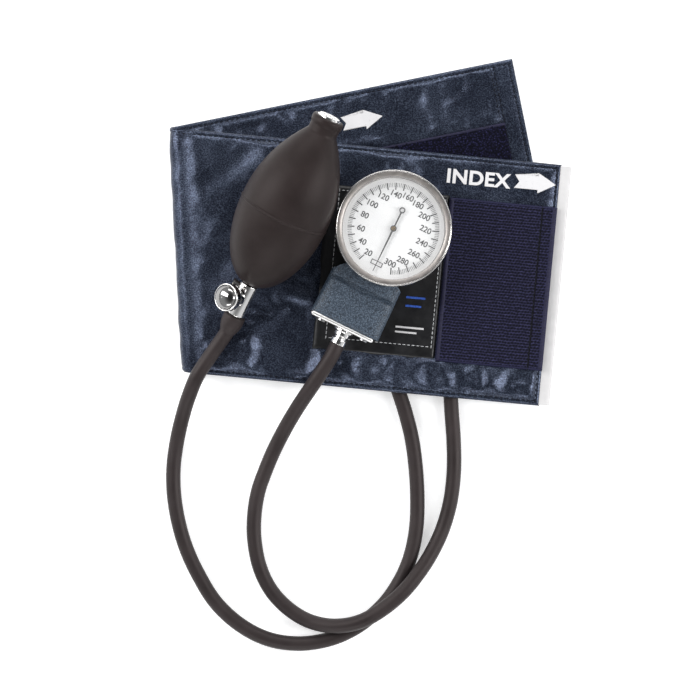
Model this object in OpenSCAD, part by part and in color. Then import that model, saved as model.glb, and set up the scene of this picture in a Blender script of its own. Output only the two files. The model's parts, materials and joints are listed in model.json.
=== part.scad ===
// Child-size blood pressure cuff, folded once on a skewed fold, with its aneroid
// gauge and inflation bulb lying on the front panel and two rubber tubes looping
// beside it. Millimetres. +Z is up and the table is z = 0. The origin is on the
// table, under the middle of the folded cuff.

/* [Cuff] */
// Width of the cuff, across its length
cuff_w = 108; // [95:1:120]
// Length of the front panel, from the fold axis to its end
front_len = 163.3; // [158:0.1:175]
// Length of the tail panel, from the fold axis to its end
tail_len = 160; // [140:1:175]
// Height of the fold axis, which is half the folded height
fold_r = 5.7; // [5.7:0.1:7]
// Angle between each panel and the square to the fold, in degrees
fold_skew = 8.4; // [5:0.1:10]
// Lean of the fold line from the Y axis, in degrees
fold_tilt = 3; // [0:0.1:5]
// Thickness of one layer of coated nylon
cloth_t = 1; // [0.6:0.1:1.2]
// Width of the white index strip that shows past the front panel
index_out = 4.5; // [3:0.1:8]

/* [Patches] */
// Length of the hook patch, along the cuff
hook_len = 48; // [40:1:50]
// Width of the hook patch, across the cuff
hook_w = 73; // [60:1:90]
// How far the hook patch sits from the cuff's middle line
hook_y = -1.9; // [-5:0.1:5]
// Length of the label patch, along the cuff
label_len = 54.5; // [45:0.5:60]
// Width of the label patch, across the cuff
label_w = 73.5; // [60:0.5:90]
// How far the label patch sits from the cuff's middle line
label_y = -1.3; // [-5:0.1:5]
// Length of the loop patch, along the cuff
loop_len = 120; // [100:1:130]
// Width of the loop patch, across the cuff
loop_w = 53; // [45:1:80]

/* [Gauge] */
// Radius over the bezel
bezel_r = 25.4; // [25.2:0.1:26]
// Outside radius of the gauge case
case_r = 23.6; // [23.5:0.05:23.7]
// Height from the case's back to the top of the bezel
gauge_h = 22.6; // [22.6:0.1:24]
// Turn of the gauge on the cuff, clockwise from above, in degrees
gauge_turn = 26; // [0:1:45]
// Distance from the gauge's centre to the pointer's tip
pointer_len = 20.5; // [18:0.1:21]

/* [Bulb] */
// Largest radius of the bulb
bulb_r = 20; // [18:0.1:22]
// Length of the rubber bulb
bulb_len = 81; // [78:0.5:84]
// Radius of the bulb's neck
neck_r = 6.6; // [6:0.1:7]
// Turn of the bulb on the cuff, clockwise from above, in degrees
bulb_turn = 26.4; // [20:0.1:30]
// Rise of the bulb's axis towards its neck, in degrees
bulb_tilt = 15; // [10:0.5:18]
// Wall of the bulb
bulb_wall = 2.2; // [1.8:0.1:2.4]

/* [Tubes] */
// Outside diameter of the rubber tubes
tube_d = 6.6; // [6:0.1:7]
// Bore of the rubber tubes
tube_bore = 3.4; // [3.4:0.1:4]

/* [Hidden] */
$fn = 64;

// Gap that keeps neighbours from sharing volume
gap = 0.05;
// Gap between the tail and the fold axis, so that the tail swings free
hinge_gap = 0.3;

// The strip's two directions from the fold, and half the fold line's length
front_dir = fold_skew - fold_tilt;
tail_dir = fold_skew + fold_tilt;
fold_half = cuff_w / 2 / cos(fold_skew);
fold_top = 2 * fold_r;

function turned(p, a) = [p.x * cos(a) - p.y * sin(a), p.x * sin(a) + p.y * cos(a)];

// Middle of the fold line
fold_at = [-81.8, -7.8];
// The cloth goes round the fold at a slant, so the tail starts further along it
fold_drift = PI * (fold_r - cloth_t) * tan(fold_skew);
tail_at = fold_at + turned([0, fold_drift], fold_tilt);

// Layers of the front panel, upwards
front_base = 7.6;
pocket_base = front_base + cloth_t;
bladder_t = 1.9;
bladder_size = [136, 78];
bladder_x = 12;
index_t = 0.8;
index_tuck = 8;
label_t = 0.6;
hook_t = 1.6;
loop_t = 1.2;
hem_w = 9;
hem_t = 0.8;

// Where the bladder's two spigots leave the front panel's inside face, and the
// direction of each towards its tube
port_z = 3.6;
port_at = [[9.6, -52.9, port_z], [36, -55.4, port_z]];
port_dir = [[0.168, -0.986, 0], [0.03, -1, 0]];
port_reach = 8;
port_body_r = 3.2;
barb_r = tube_bore / 2 - 0.1;
barb_len = 5;

// Gauge, about its own centre: its pointer axis is Z and its neck points to -Y
gauge_at = [10.3, 0.8, 13.2];
case_wall = 1.3;
case_floor = 1.2;
case_inner_r = case_r - case_wall;
case_top = gauge_h - 3.2;
dial_z = 16.6;
dial_t = 0.5;
lens_r = case_r;
lens_z = gauge_h - 2.4;
lens_t = 1.6;
duct_z = 7;
duct_r = 1.5;
neck_half_w = 14;
neck_end = -47;
neck_z = [1, 13];
strap_wall = 1.3;
plate_t = 2;
nipple_end = neck_end - plate_t - 7;

// Pressure capsule
capsule_r = 14;
capsule_z = 3.2;
capsule_top_z = 6.6;
button_z = 8.45;
button_r = 0.6;

// Movement: the pinion turns ten times for each turn of the sector
pinion_teeth = 10;
gear_ratio = 10;
pinion_pitch_r = 1.2;
sector_pitch_r = pinion_pitch_r * gear_ratio;
sector_x = -5.8;
centre_dist = sector_pitch_r + pinion_pitch_r + gap;
sector_at = [sector_x, sqrt(centre_dist ^ 2 - sector_x ^ 2)];
sector_aim = atan2(-sector_at.y, -sector_at.x);
sector_travel = 33.75;
gear_z = 12.8;
gear_t = 0.8;
arbor_r = 0.5;
bearing_r = 0.55;
plate_z = 11.4;
plate_thick = 0.8;
movement_r = 19.5;
bridge_z = 15;
bridge_w = 3.6;
bridge_ends = [[8, -5], [-12.5, 13]];
pillar_ring_r = 17.5;
rock_at = [-4.5, 9.4];
rock_r = 0.8;
lug_y = [-3, 12.2];
finger_y = 14.7;
spring_z = 14;
spring_turns = 3;
spring_r = [1.5, 4.4];

// Pointer and its hub
pointer_z = 18.2;
pointer_t = 0.4;
pointer_tail = 8.8;

// Bulb, along its own axis from the valve end: +Z to the neck, and -Y upwards
bulb_waist = 36;
bulb_at = [-37.2, 7.65, 33];
shoulder = bulb_len - 6;
shoulder_power = 2.2;
valve_hole_r = 3.25;
inlet_bore_r = 4.3;

// Release valve, along the barrel from the bulb (negative is away from it)
barrel_r = 4;
barrel_end = -15;
stem_s = -6.8;
stem_lean = 30;
boss_top = 6.8;

// Routes of the two tubes between their fittings, point by point
bulb_route = [
    [-70, -54, 15.9], [-76, -63, 15.2], [-80, -72, 12.4], [-83.2, -81, 7.4],
    [-86, -92, 4.2], [-87.7, -104, 3.4], [-87.6, -116, 3.4], [-85.8, -128, 3.4],
    [-82.4, -140, 3.4], [-77, -152, 3.4], [-69, -165, 3.4], [-58, -175.2, 3.4],
    [-45.5, -181.6, 3.4], [-32, -183.7, 3.4], [-19, -182, 3.4], [-8, -177.6, 3.4],
    [1, -171.3, 3.4], [8.5, -163.7, 3.4], [15, -153.4, 3.4], [19, -143, 3.4],
    [21.2, -131, 3.4], [21.6, -118, 3.4], [20.8, -104, 3.4], [19, -91, 3.4],
    [15.8, -78.5, 3.4],
];
gauge_route = [
    [-22.5, -63.6, 18.2], [-27.5, -71, 15.4], [-32.5, -78.5, 11.2],
    [-37.7, -87.3, 6.6], [-42.6, -96.8, 4], [-46.5, -106, 3.4],
    [-49.8, -115.5, 3.4], [-51.5, -126, 3.4], [-51.5, -137, 3.4],
    [-49.2, -149, 3.4], [-44.2, -159.5, 3.4], [-36.5, -167.8, 3.6],
    [-27, -173.3, 5.2], [-16, -175.1, 8.4], [-5, -173.2, 10.6], [5, -167.9, 11],
    [14.5, -160.2, 10.4], [22, -151.5, 8.2], [28, -142.5, 5.4], [33, -132, 3.6],
    [36.5, -119.5, 3.4], [38, -106, 3.4], [37.9, -93, 3.4], [37, -80, 3.4],
];
tube_sides = 10;

// Frames ------------------------------------------------------------------

// Middle of the fold line, with +Y along the fold and +X into the folded cuff
module at_fold() translate([fold_at.x, fold_at.y, 0]) rotate(fold_tilt) children();

// Front panel: +X along the strip from the fold line's middle
module in_front() translate([fold_at.x, fold_at.y, 0]) rotate(-front_dir) children();

// Tail panel: +X along the strip from the middle of its start at the fold
module in_tail() translate([tail_at.x, tail_at.y, 0]) rotate(tail_dir) children();

// Gauge: centre of the case's back
module in_gauge() translate(gauge_at) rotate(-gauge_turn) children();

// Bulb: the axis at the valve end, with +Z towards the neck
module in_bulb()
    translate(bulb_at) rotate(-bulb_turn) rotate([bulb_tilt - 90, 0, 0])
        translate([0, 0, -bulb_waist]) children();

// Release stem: +Z out along the stem from the barrel's axis
module at_stem()
    in_bulb() translate([0, 0, stem_s]) rotate(-stem_lean) rotate([90, 0, 0]) children();

function bulb_dir() = [
    sin(bulb_turn) * cos(bulb_tilt), cos(bulb_turn) * cos(bulb_tilt), sin(bulb_tilt)
];
function bulb_axis_point(s) = bulb_at + (s - bulb_waist) * bulb_dir();
function gauge_point(x, y, z) =
    let (p = turned([x, y], -gauge_turn)) gauge_at + [p.x, p.y, z];
function port_point(i, reach) = port_at[i] + reach * port_dir[i];

// Shared shapes --------------------------------------------------------------

// Flat ring or tube from z0 to z1
module ring(outer, inner, z0, z1) {
    translate([0, 0, z0]) difference() {
        cylinder(r = outer, h = z1 - z0);
        translate([0, 0, -1]) cylinder(r = inner, h = z1 - z0 + 2);
    }
}

// Outline of one panel: square across its far end, skewed along the fold
module panel_outline(len, lean, start) {
    polygon([
        [start - lean * tan(fold_skew) * cuff_w / 2, cuff_w / 2],
        [start + lean * tan(fold_skew) * cuff_w / 2, -cuff_w / 2],
        [len, -cuff_w / 2],
        [len, cuff_w / 2],
    ]);
}

// Flat layer of a given length and width, centred across the strip
module layer(x0, len, width, z0, thick) {
    translate([x0, -width / 2, z0]) cube([len, width, thick]);
}

// Bar between two points in the plane, with a wider round eye at each end
module bar(a, b, width) {
    d = b - a;
    translate(a) rotate(atan2(d.y, d.x)) translate([0, -width / 2]) square([norm(d), width]);
    for (p = [a, b]) translate(p) circle(d = 1.3 * width);
}

// Round hollow tube swept along a list of points
module swept_tube(route, outer_r, inner_r, sides) {
    n = len(route);
    rings = [
        for (i = [0:n - 1])
            let (
                ahead = route[min(i + 1, n - 1)] - route[max(i - 1, 0)],
                along = ahead / norm(ahead),
                across = cross(along, [0, 0, 1]),
                side = across / norm(across),
                up = cross(side, along)
            )
            [route[i], side, up]
    ];
    skin = [
        for (r = [outer_r, inner_r]) for (one = rings) for (k = [0:sides - 1])
            one[0] + r * (one[1] * cos(360 * k / sides) + one[2] * sin(360 * k / sides))
    ];
    inside = n * sides;
    function at(i, k) = i * sides + k % sides;
    walls = [
        for (i = [0:n - 2]) for (k = [0:sides - 1])
            each [
                [at(i, k), at(i, k + 1), at(i + 1, k)],
                [at(i + 1, k), at(i, k + 1), at(i + 1, k + 1)],
                [inside + at(i, k), inside + at(i + 1, k), inside + at(i, k + 1)],
                [inside + at(i + 1, k), inside + at(i + 1, k + 1), inside + at(i, k + 1)],
            ]
    ];
    ends = [
        for (k = [0:sides - 1])
            each [
                [at(0, k), inside + at(0, k), at(0, k + 1)],
                [at(0, k + 1), inside + at(0, k), inside + at(0, k + 1)],
                [at(n - 1, k), at(n - 1, k + 1), inside + at(n - 1, k)],
                [at(n - 1, k + 1), inside + at(n - 1, k + 1), inside + at(n - 1, k)],
            ]
    ];
    polyhedron(skin, concat(walls, ends));
}

// Tail -----------------------------------------------------------------------

module tail_outer_cover() {
    color("#26303f")
        in_tail() linear_extrude(cloth_t)
            panel_outline(tail_len, -1, hinge_gap / cos(fold_skew));
}

module tail_inner_cover() {
    color("#3a4a60")
        in_tail() translate([0, 0, cloth_t]) linear_extrude(cloth_t)
            panel_outline(tail_len, -1, hinge_gap / cos(fold_skew));
}

module loop_patch() {
    color("#17162a")
        in_tail() layer(tail_len - hem_w - loop_len, loop_len, loop_w, 2 * cloth_t, loop_t);
}

module tail_end_hem() {
    color("#2d3a4d")
        in_tail() layer(tail_len - hem_w, hem_w, cuff_w, 2 * cloth_t, hem_t);
}

// Front panel ------------------------------------------------------------------

// Cloth that turns round the fold, from the front panel to the tail
module fold_web() {
    web_t = 2 * cloth_t;
    drift_per_z = fold_drift / fold_top;
    color("#33435a")
        at_fold() intersection() {
            translate([0, 0, fold_r]) rotate([90, 0, 0])
                linear_extrude(2 * (fold_half + fold_drift), center = true)
                    difference() {
                        intersection() {
                            circle(r = fold_r);
                            translate([-fold_r, -fold_r]) square([fold_r, 2 * fold_r]);
                        }
                        circle(r = fold_r - web_t);
                    }
            rotate([90, 0, 90]) translate([0, 0, -fold_r - 1]) linear_extrude(fold_r + 2)
                polygon([
                    [-fold_half + fold_drift + drift_per_z, -1],
                    [fold_half + fold_drift + drift_per_z, -1],
                    [fold_half - drift_per_z, fold_top + 1],
                    [-fold_half - drift_per_z, fold_top + 1],
                ]);
        }
}

module front_inner_cover() {
    color("#323f52")
        difference() {
            in_front() translate([0, 0, front_base]) linear_extrude(cloth_t)
                panel_outline(front_len, 1, 0);
            for (p = port_at)
                translate([p.x, p.y, front_base - 1]) cylinder(r = 2.6, h = cloth_t + 2);
        }
}

module front_outer_cover() {
    pocket_h = bladder_t + gap;
    color("#3c4c63")
        in_front() difference() {
            translate([0, 0, pocket_base]) linear_extrude(fold_top - pocket_base)
                panel_outline(front_len, 1, 0);
            layer(bladder_x - gap, bladder_size.x + 2 * gap, bladder_size.y + 2 * gap,
                pocket_base - 1, pocket_h + 1);
            layer(front_len - index_tuck - gap, index_tuck + 1, cuff_w - 1 + 2 * gap,
                pocket_base - 1, index_t + gap + 1);
        }
}

module bladder() {
    color("#1e1c1c")
        in_front() layer(bladder_x, bladder_size.x, bladder_size.y, pocket_base, bladder_t);
}

// Two moulded rubber elbows, each with a flange under the inner cover and a
// ribbed spigot that its tube is pushed on
module bladder_ports() {
    flange_z = front_base - 0.8;
    color("#231f1f")
        for (i = [0, 1])
            translate([port_at[i].x, port_at[i].y, 0]) difference() {
                union() {
                    translate([0, 0, flange_z]) cylinder(r = 7, h = 0.8);
                    translate([0, 0, port_z]) cylinder(r = 2.5, h = pocket_base - port_z);
                    translate([0, 0, port_z]) cylinder(r = port_body_r - 0.2, h = flange_z - port_z);
                    translate([0, 0, port_z]) sphere(r = port_body_r);
                    translate([0, 0, port_z])
                        rotate(atan2(port_dir[i].y, port_dir[i].x)) rotate([0, 90, 0]) {
                            cylinder(r = port_body_r - 0.1, h = port_reach);
                            cylinder(r = barb_r, h = port_reach + barb_len);
                        }
                }
                translate([0, 0, port_z]) cylinder(r = 0.9, h = pocket_base);
                translate([0, 0, port_z])
                    rotate(atan2(port_dir[i].y, port_dir[i].x)) rotate([0, 90, 0])
                        cylinder(r = 0.9, h = port_reach + barb_len + 1);
            }
}

module index_strip() {
    color("#e6e6e9")
        in_front() layer(front_len - index_tuck, index_tuck + index_out, cuff_w - 1,
            pocket_base, index_t);
}

module hook_patch() {
    color("#1f1d38")
        in_front() translate([0, hook_y, 0])
            layer(front_len - 0.3 - hook_len, hook_len, hook_w, fold_top, hook_t);
}

module label_patch() {
    color("#111114")
        in_front() translate([0, label_y, 0])
            layer(front_len - 0.6 - hook_len - label_len, label_len, label_w, fold_top, label_t);
}

// Gauge: strap, neck and fittings ------------------------------------------------

// Leatherette sleeve round the neck, with a tongue that runs back under the case
module gauge_strap() {
    inner = [2 * neck_half_w + 0.2, neck_z[1] - neck_z[0] + 0.2];
    low = neck_z[0] - 0.1 - strap_wall;
    outer_w = inner.x + 2 * strap_wall + 1.6;
    strap_x = -0.75;
    strap_top = -24.6;
    color("#465f74")
        in_gauge() {
            difference() {
                translate([strap_x - outer_w / 2, neck_end, low])
                    cube([outer_w, strap_top - neck_end, inner.y + 2 * strap_wall]);
                translate([-inner.x / 2, neck_end - 1, neck_z[0] - 0.1])
                    cube([inner.x, 40, inner.y]);
            }
            translate([-12, strap_top, low]) cube([24, 32, -low - gap]);
        }
}

module gauge_neck() {
    color("#b9bcc0")
        in_gauge() difference() {
            translate([-neck_half_w, neck_end + 0.5, neck_z[0]])
                cube([2 * neck_half_w, -neck_end - 18, neck_z[1] - neck_z[0]]);
            cylinder(r = case_r + gap, h = gauge_h);
            translate([0, 0, duct_z]) rotate([90, 0, 0]) cylinder(r = duct_r, h = 60);
        }
}

module end_plate() {
    color("#d4d6d9")
        in_gauge() difference() {
            translate([-16.5, neck_end - plate_t, 0.6]) cube([30, plate_t, 12.8]);
            translate([0, neck_end + 1, duct_z]) rotate([90, 0, 0]) cylinder(r = 2.3, h = 9);
            for (x = [-11, 9.5])
                translate([x, neck_end + 1, duct_z]) rotate([90, 0, 0]) cylinder(r = 1.05, h = 9);
        }
}

module end_plate_screws() {
    color("#9a9ca0")
        in_gauge() for (x = [-11, 9.5]) translate([x, neck_end - plate_t, duct_z])
            rotate([90, 0, 0]) difference() {
                union() {
                    cylinder(r = 1.8, h = 0.8);
                    translate([0, 0, -plate_t]) cylinder(r = 1, h = plate_t);
                }
                translate([-2, -0.2, 0.4]) cube([4, 0.4, 1]);
            }
}

// Turned stub that the gauge tube is pushed on
module port_nipple() {
    start = -(neck_end - plate_t);
    end = -nipple_end;
    color("#cfd1d5")
        in_gauge() translate([0, 0, duct_z]) rotate([90, 0, 0]) rotate_extrude()
            polygon([
                [0.9, start - 1.9], [2.2, start - 1.9], [2.2, start], [4.4, start],
                [4.4, start + 1], [3.5, start + 1.3], [3.5, start + 3], [2.8, start + 3.3],
                [2.8, start + 4.2], [3.4, start + 4.5], [3.4, end], [barb_r, end],
                [barb_r, end + barb_len], [0.9, end + barb_len],
            ]);
}

// Gauge: case, glass and dial -------------------------------------------------

module gauge_case() {
    ledge_r = case_inner_r - 1.3;
    color("#8f9094")
        in_gauge() difference() {
            rotate_extrude($fn = 96) polygon([
                [2.05, 0], [case_r - 1.5, 0], [case_r, 1.5], [case_r, case_top],
                [case_inner_r, case_top], [case_inner_r, dial_z], [ledge_r, dial_z],
                [ledge_r, dial_z - 0.8], [case_inner_r, dial_z - 2],
                [case_inner_r, case_floor], [2.05, case_floor],
            ]);
            translate([0, 0, duct_z]) rotate([90, 0, 0]) cylinder(r = duct_r, h = 40);
        }
}

module bezel_ring() {
    inner_r = case_r + gap;
    lip_r = 22.7;
    skirt_z = 14.5;
    color("#d9dadd")
        in_gauge() rotate_extrude($fn = 128) polygon([
            [inner_r, skirt_z], [bezel_r - 0.5, skirt_z], [bezel_r, skirt_z + 0.5],
            [bezel_r, gauge_h - 1.8], [bezel_r - 0.5, gauge_h - 0.6],
            [bezel_r - 1.4, gauge_h], [lip_r + 0.6, gauge_h], [lip_r, gauge_h - 0.3],
            [lip_r, gauge_h - 0.75], [inner_r, gauge_h - 0.75],
        ]);
}

module lens() {
    color("#eef2f4", 0.35)
        in_gauge() translate([0, 0, lens_z]) cylinder(r = lens_r, h = lens_t, $fn = 96);
}

module lens_gasket() {
    color("#2a2a2c") in_gauge() ring(case_r, case_inner_r + 0.2, case_top, lens_z);
}

module dial_plate() {
    color("#eeeeee") in_gauge() ring(case_inner_r - 0.1, 1.2, dial_z, dial_z + dial_t);
}

// Gauge: pressure capsule -----------------------------------------------------

module capsule_stud() {
    color("#b08d4a") in_gauge() {
        ring(2, 0.6, 0, capsule_z);
        ring(4, 1.9, case_floor, capsule_z);
    }
}

// Rippled lower diaphragm
module capsule_lower() {
    color("#c49a4c")
        in_gauge() rotate_extrude() polygon([
            [0.6, capsule_z], [capsule_r - 6, capsule_z], [capsule_r - 5, capsule_z + 0.6],
            [capsule_r - 3, capsule_z + 0.2], [capsule_r, capsule_z + 1.2],
            [capsule_r, capsule_z + 1.6], [capsule_r - 3, capsule_z + 0.7],
            [capsule_r - 5, capsule_z + 1.1], [capsule_r - 6, capsule_z + 0.5],
            [0.6, capsule_z + 0.5],
        ]);
}

// Rippled upper diaphragm with the button that lifts the rocking shaft
module capsule_upper() {
    low = capsule_z + 1.7;
    color("#d0a75a")
        in_gauge() rotate_extrude() polygon([
            [0, capsule_top_z - 0.5], [capsule_r - 6, capsule_top_z - 0.5],
            [capsule_r - 5, capsule_top_z - 0.9], [capsule_r - 3, capsule_top_z - 0.6],
            [capsule_r, low], [capsule_r, low + 0.4],
            [capsule_r - 3, capsule_top_z - 0.1], [capsule_r - 5, capsule_top_z - 0.4],
            [capsule_r - 6, capsule_top_z], [2, capsule_top_z],
            [2, capsule_top_z + 0.8], [button_r, capsule_top_z + 1],
            [button_r, button_z], [0, button_z],
        ]);
}

// Gauge: movement -----------------------------------------------------------------

// Round plate with bearings for the pinion and the sector, a slot for the
// rocking finger and two lugs that carry the rocking shaft
module movement_plate() {
    lug_low = 8.4;
    color("#c9a95f")
        in_gauge() difference() {
            union() {
                translate([0, 0, plate_z]) cylinder(r = movement_r, h = plate_thick);
                for (y = lug_y)
                    translate([rock_at.x - 1.6, y - 0.6, lug_low])
                        cube([3.2, 1.2, plate_z - lug_low + 0.1]);
            }
            for (p = [[0, 0], sector_at])
                translate([p.x, p.y, plate_z - 1]) cylinder(r = bearing_r, h = 3);
            translate([rock_at.x - 2.4, finger_y - 1, plate_z - 1]) cube([3.2, 2, 3]);
            translate([rock_at.x, -10, rock_at.y]) rotate([-90, 0, 0])
                cylinder(r = rock_r + gap, h = 30);
            pillar_holes() cylinder(r = 0.75, h = 3);
        }
}

module pillar_holes() {
    for (a = [30, 150, 270])
        rotate(a) translate([pillar_ring_r, 0, plate_z - 1]) children();
}

module movement_pillars() {
    color("#b9994f")
        in_gauge() for (a = [30, 150, 270]) rotate(a) translate([pillar_ring_r, 0, 0])
            difference() {
                translate([0, 0, case_floor]) cylinder(r = 1.6, h = plate_z - case_floor);
                translate([0, 0, plate_z - 4]) cylinder(r = 0.65, h = 5);
            }
}

module movement_screws() {
    top = plate_z + plate_thick;
    color("#8a8c90")
        in_gauge() for (a = [30, 150, 270]) rotate(a) translate([pillar_ring_r, 0, 0])
            difference() {
                union() {
                    translate([0, 0, plate_z - 3.5]) cylinder(r = 0.6, h = top - plate_z + 3.5);
                    translate([0, 0, top]) cylinder(r = 1.3, h = 0.7);
                }
                translate([-2, -0.15, top + 0.35]) cube([4, 0.3, 1]);
            }
}

module movement_bridge() {
    color("#d5b56b")
        in_gauge() translate([0, 0, bridge_z]) linear_extrude(0.8) difference() {
            union() {
                bar(bridge_ends[0], [0, 0], bridge_w);
                bar([0, 0], sector_at, bridge_w);
                bar(sector_at, bridge_ends[1], bridge_w);
            }
            for (p = [[0, 0], sector_at]) translate(p) circle(r = bearing_r);
        }
}

module bridge_posts() {
    base = plate_z + plate_thick;
    color("#b9994f")
        in_gauge() for (p = bridge_ends)
            translate([p.x, p.y, base]) cylinder(r = 1.6, h = bridge_z - base);
}

// Shaft with the arm that the capsule lifts and the finger that turns the sector
module rocking_shaft() {
    reach = 4.7;
    color("#a7a9ad")
        in_gauge() translate([rock_at.x, 0, rock_at.y]) {
            translate([0, -4.2, 0]) rotate([-90, 0, 0]) cylinder(r = rock_r, h = 19.8);
            translate([0, -1, -rock_r]) cube([reach, 2, 0.7]);
            translate([-0.5, finger_y - 0.5, 0]) cube([1, 1, 4.4]);
        }
}

// Toothed quadrant on its arbor, with the tail that the finger pushes
module sector_gear() {
    root_r = sector_pitch_r - 0.3;
    tip_r = sector_pitch_r + 0.12;
    tooth_pitch = 360 / (pinion_teeth * gear_ratio);
    first = sector_aim - sector_travel - 3.6;
    color("#c9a95f")
        in_gauge() translate([sector_at.x, sector_at.y, 0]) {
            translate([0, 0, plate_z + 0.1]) cylinder(r = arbor_r, h = bridge_z + 0.6 - plate_z);
            translate([0, 0, gear_z]) linear_extrude(gear_t) {
                intersection() {
                    circle(r = root_r);
                    polygon([
                        [0, 0],
                        for (a = [0:8:48]) 20 * [cos(first - 3 + a), sin(first - 3 + a)],
                    ]);
                }
                circle(r = 1.6);
                translate([-0.5, 0]) square([1, 3.4]);
                for (k = [0:11])
                    rotate(first + (k + 0.5) * tooth_pitch)
                        polygon([
                            [root_r - 0.1, 0.13], [root_r - 0.1, -0.13],
                            [tip_r, -0.06], [tip_r, 0.06],
                        ]);
            }
        }
}

// Arbor of the pointer with its ten-leaf pinion and the hairspring's collet
module pinion_arbor() {
    root_r = pinion_pitch_r - 0.3;
    tip_r = pinion_pitch_r + 0.12;
    mesh_phase = 180 + sector_aim;
    color("#b4b6ba")
        in_gauge() {
            translate([0, 0, plate_z + 0.1])
                cylinder(r = arbor_r, h = pointer_z - 0.3 - plate_z - 0.1);
            ring(0.95, 0.4, spring_z - 0.1, spring_z + 0.5);
            translate([0, 0, gear_z - 0.1]) linear_extrude(gear_t + 0.2) {
                circle(r = root_r);
                for (k = [0:pinion_teeth - 1])
                    rotate(mesh_phase + k * 360 / pinion_teeth)
                        polygon([
                            [root_r - 0.2, 0.14], [root_r - 0.2, -0.14],
                            [tip_r, -0.06], [tip_r, 0.06],
                        ]);
            }
        }
}

// Flat spiral that brings the pointer back to zero
module hairspring() {
    steps = 24 * spring_turns;
    function spiral(t, off) =
        (spring_r[0] + (spring_r[1] - spring_r[0]) * t + off)
            * [cos(360 * spring_turns * t), sin(360 * spring_turns * t)];
    color("#7d8da3")
        in_gauge() translate([0, 0, spring_z]) linear_extrude(0.3) polygon(concat(
            [for (i = [0:steps]) spiral(i / steps, 0.08)],
            [for (i = [steps:-1:0]) spiral(i / steps, -0.08)]
        ));
}

module pointer() {
    root_half = 0.45;
    tip_half = 0.16;
    eye_r = 1.35;
    color("#1b1b1d")
        in_gauge() translate([0, 0, pointer_z]) linear_extrude(pointer_t) difference() {
            union() {
                circle(r = 1.4);
                polygon([[-root_half, 0], [root_half, 0], [tip_half, -pointer_len],
                    [-tip_half, -pointer_len]]);
                translate([-0.35, 0]) square([0.7, pointer_tail - eye_r + 0.2]);
                translate([0, pointer_tail]) circle(r = eye_r);
            }
            translate([0, pointer_tail]) circle(r = 0.8);
            circle(r = arbor_r);
        }
}

module pointer_hub() {
    color("#b8863b")
        in_gauge() translate([0, 0, pointer_z]) {
            translate([0, 0, -0.3]) cylinder(r = arbor_r - 0.02, h = pointer_t + 0.3);
            translate([0, 0, pointer_t]) cylinder(r = 0.95, h = 0.6);
        }
}

// Bulb and its inlet valve ----------------------------------------------------------

// Radius of the bulb at a distance from its valve end
function bulb_radius(s) =
    s < bulb_waist
        ? bulb_r * sqrt(max(0, 1 - ((bulb_waist - s) / bulb_waist) ^ 2))
        : neck_r + (bulb_r - neck_r)
            * (1 - min(1, (s - bulb_waist) / (shoulder - bulb_waist)) ^ shoulder_power);

module bulb_shell() {
    steps = 22;
    start = bulb_waist * (1 - sqrt(1 - (valve_hole_r / bulb_r) ^ 2));
    neck_in = shoulder - 2;
    outside = [
        for (i = [0:steps])
            let (s = start + (shoulder - start) * (1 - cos(180 * i / steps)) / 2)
            [bulb_radius(s), s]
    ];
    inside = [
        for (i = [steps:-1:0])
            let (s = 3 + (neck_in - 3) * (1 - cos(180 * i / steps)) / 2)
            [max(inlet_bore_r, bulb_radius(s) - bulb_wall), s]
    ];
    color("#3b3331")
        in_bulb() rotate_extrude($fn = 72) polygon(concat(
            outside,
            [[neck_r, bulb_len - 3], [neck_r + 0.4, bulb_len - 2], [neck_r + 0.4, bulb_len - 0.6],
                [neck_r, bulb_len], [inlet_bore_r, bulb_len]],
            inside,
            [[valve_hole_r, 3]]
        ));
}

module inlet_valve_body() {
    seat = bulb_len - 1.4;
    body_r = inlet_bore_r - gap;
    color("#c8cace")
        in_bulb() rotate_extrude() polygon([
            [2.5, bulb_len - 9], [body_r, bulb_len - 9], [body_r, bulb_len],
            [5.4, bulb_len], [5.4, bulb_len + 1], [1.2, bulb_len + 1],
            [1.2, seat], [2.5, seat],
        ]);
}

module inlet_ball() {
    color("#e8e8ea") in_bulb() translate([0, 0, bulb_len - 3.03]) sphere(r = 2);
}

module inlet_retainer() {
    color("#a9abb0") in_bulb() ring(2.45, 1.3, bulb_len - 7, bulb_len - 6.2);
}

// Pierced dust cap that shows at the end of the neck
module inlet_cap() {
    color("#d7d9dc")
        in_bulb() translate([0, 0, bulb_len + 1]) difference() {
            cylinder(r = 4.6, h = 0.7);
            for (a = [0:60:300]) rotate(a) translate([2.6, 0, -1]) cylinder(r = 0.6, h = 3);
            translate([0, 0, -1]) cylinder(r = 0.7, h = 3);
        }
}

// Release valve -----------------------------------------------------------------------

module valve_barrel() {
    spigot_r = valve_hole_r - gap;
    color("#d2d4d8")
        difference() {
            union() {
                in_bulb() rotate_extrude() polygon([
                    [0, barrel_end - 7], [barb_r, barrel_end - 7], [barb_r, barrel_end],
                    [barrel_r - 0.4, barrel_end], [barrel_r, barrel_end + 0.4],
                    [barrel_r, 0.2], [spigot_r, 0.4], [spigot_r, 4], [0, 4],
                ]);
                at_stem() cylinder(r = 3.4, h = boss_top);
            }
            in_bulb() translate([0, 0, barrel_end - 8]) cylinder(r = 0.9, h = 20);
            in_bulb() translate([0, 0, barrel_end + 2]) cylinder(r = 1.5, h = 20);
            in_bulb() translate([0, 0, -3.4]) cylinder(r = 2.2, h = 10);
            at_stem() cylinder(r = 0.8, h = 5);
            at_stem() translate([0, 0, 3.3]) cylinder(r = 1.9, h = boss_top);
            in_bulb() translate([0, 0, -2.2]) rotate([0, -90, 0])
                translate([0, 0, 3.2]) cylinder(r = 0.95, h = 3);
        }
}

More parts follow.
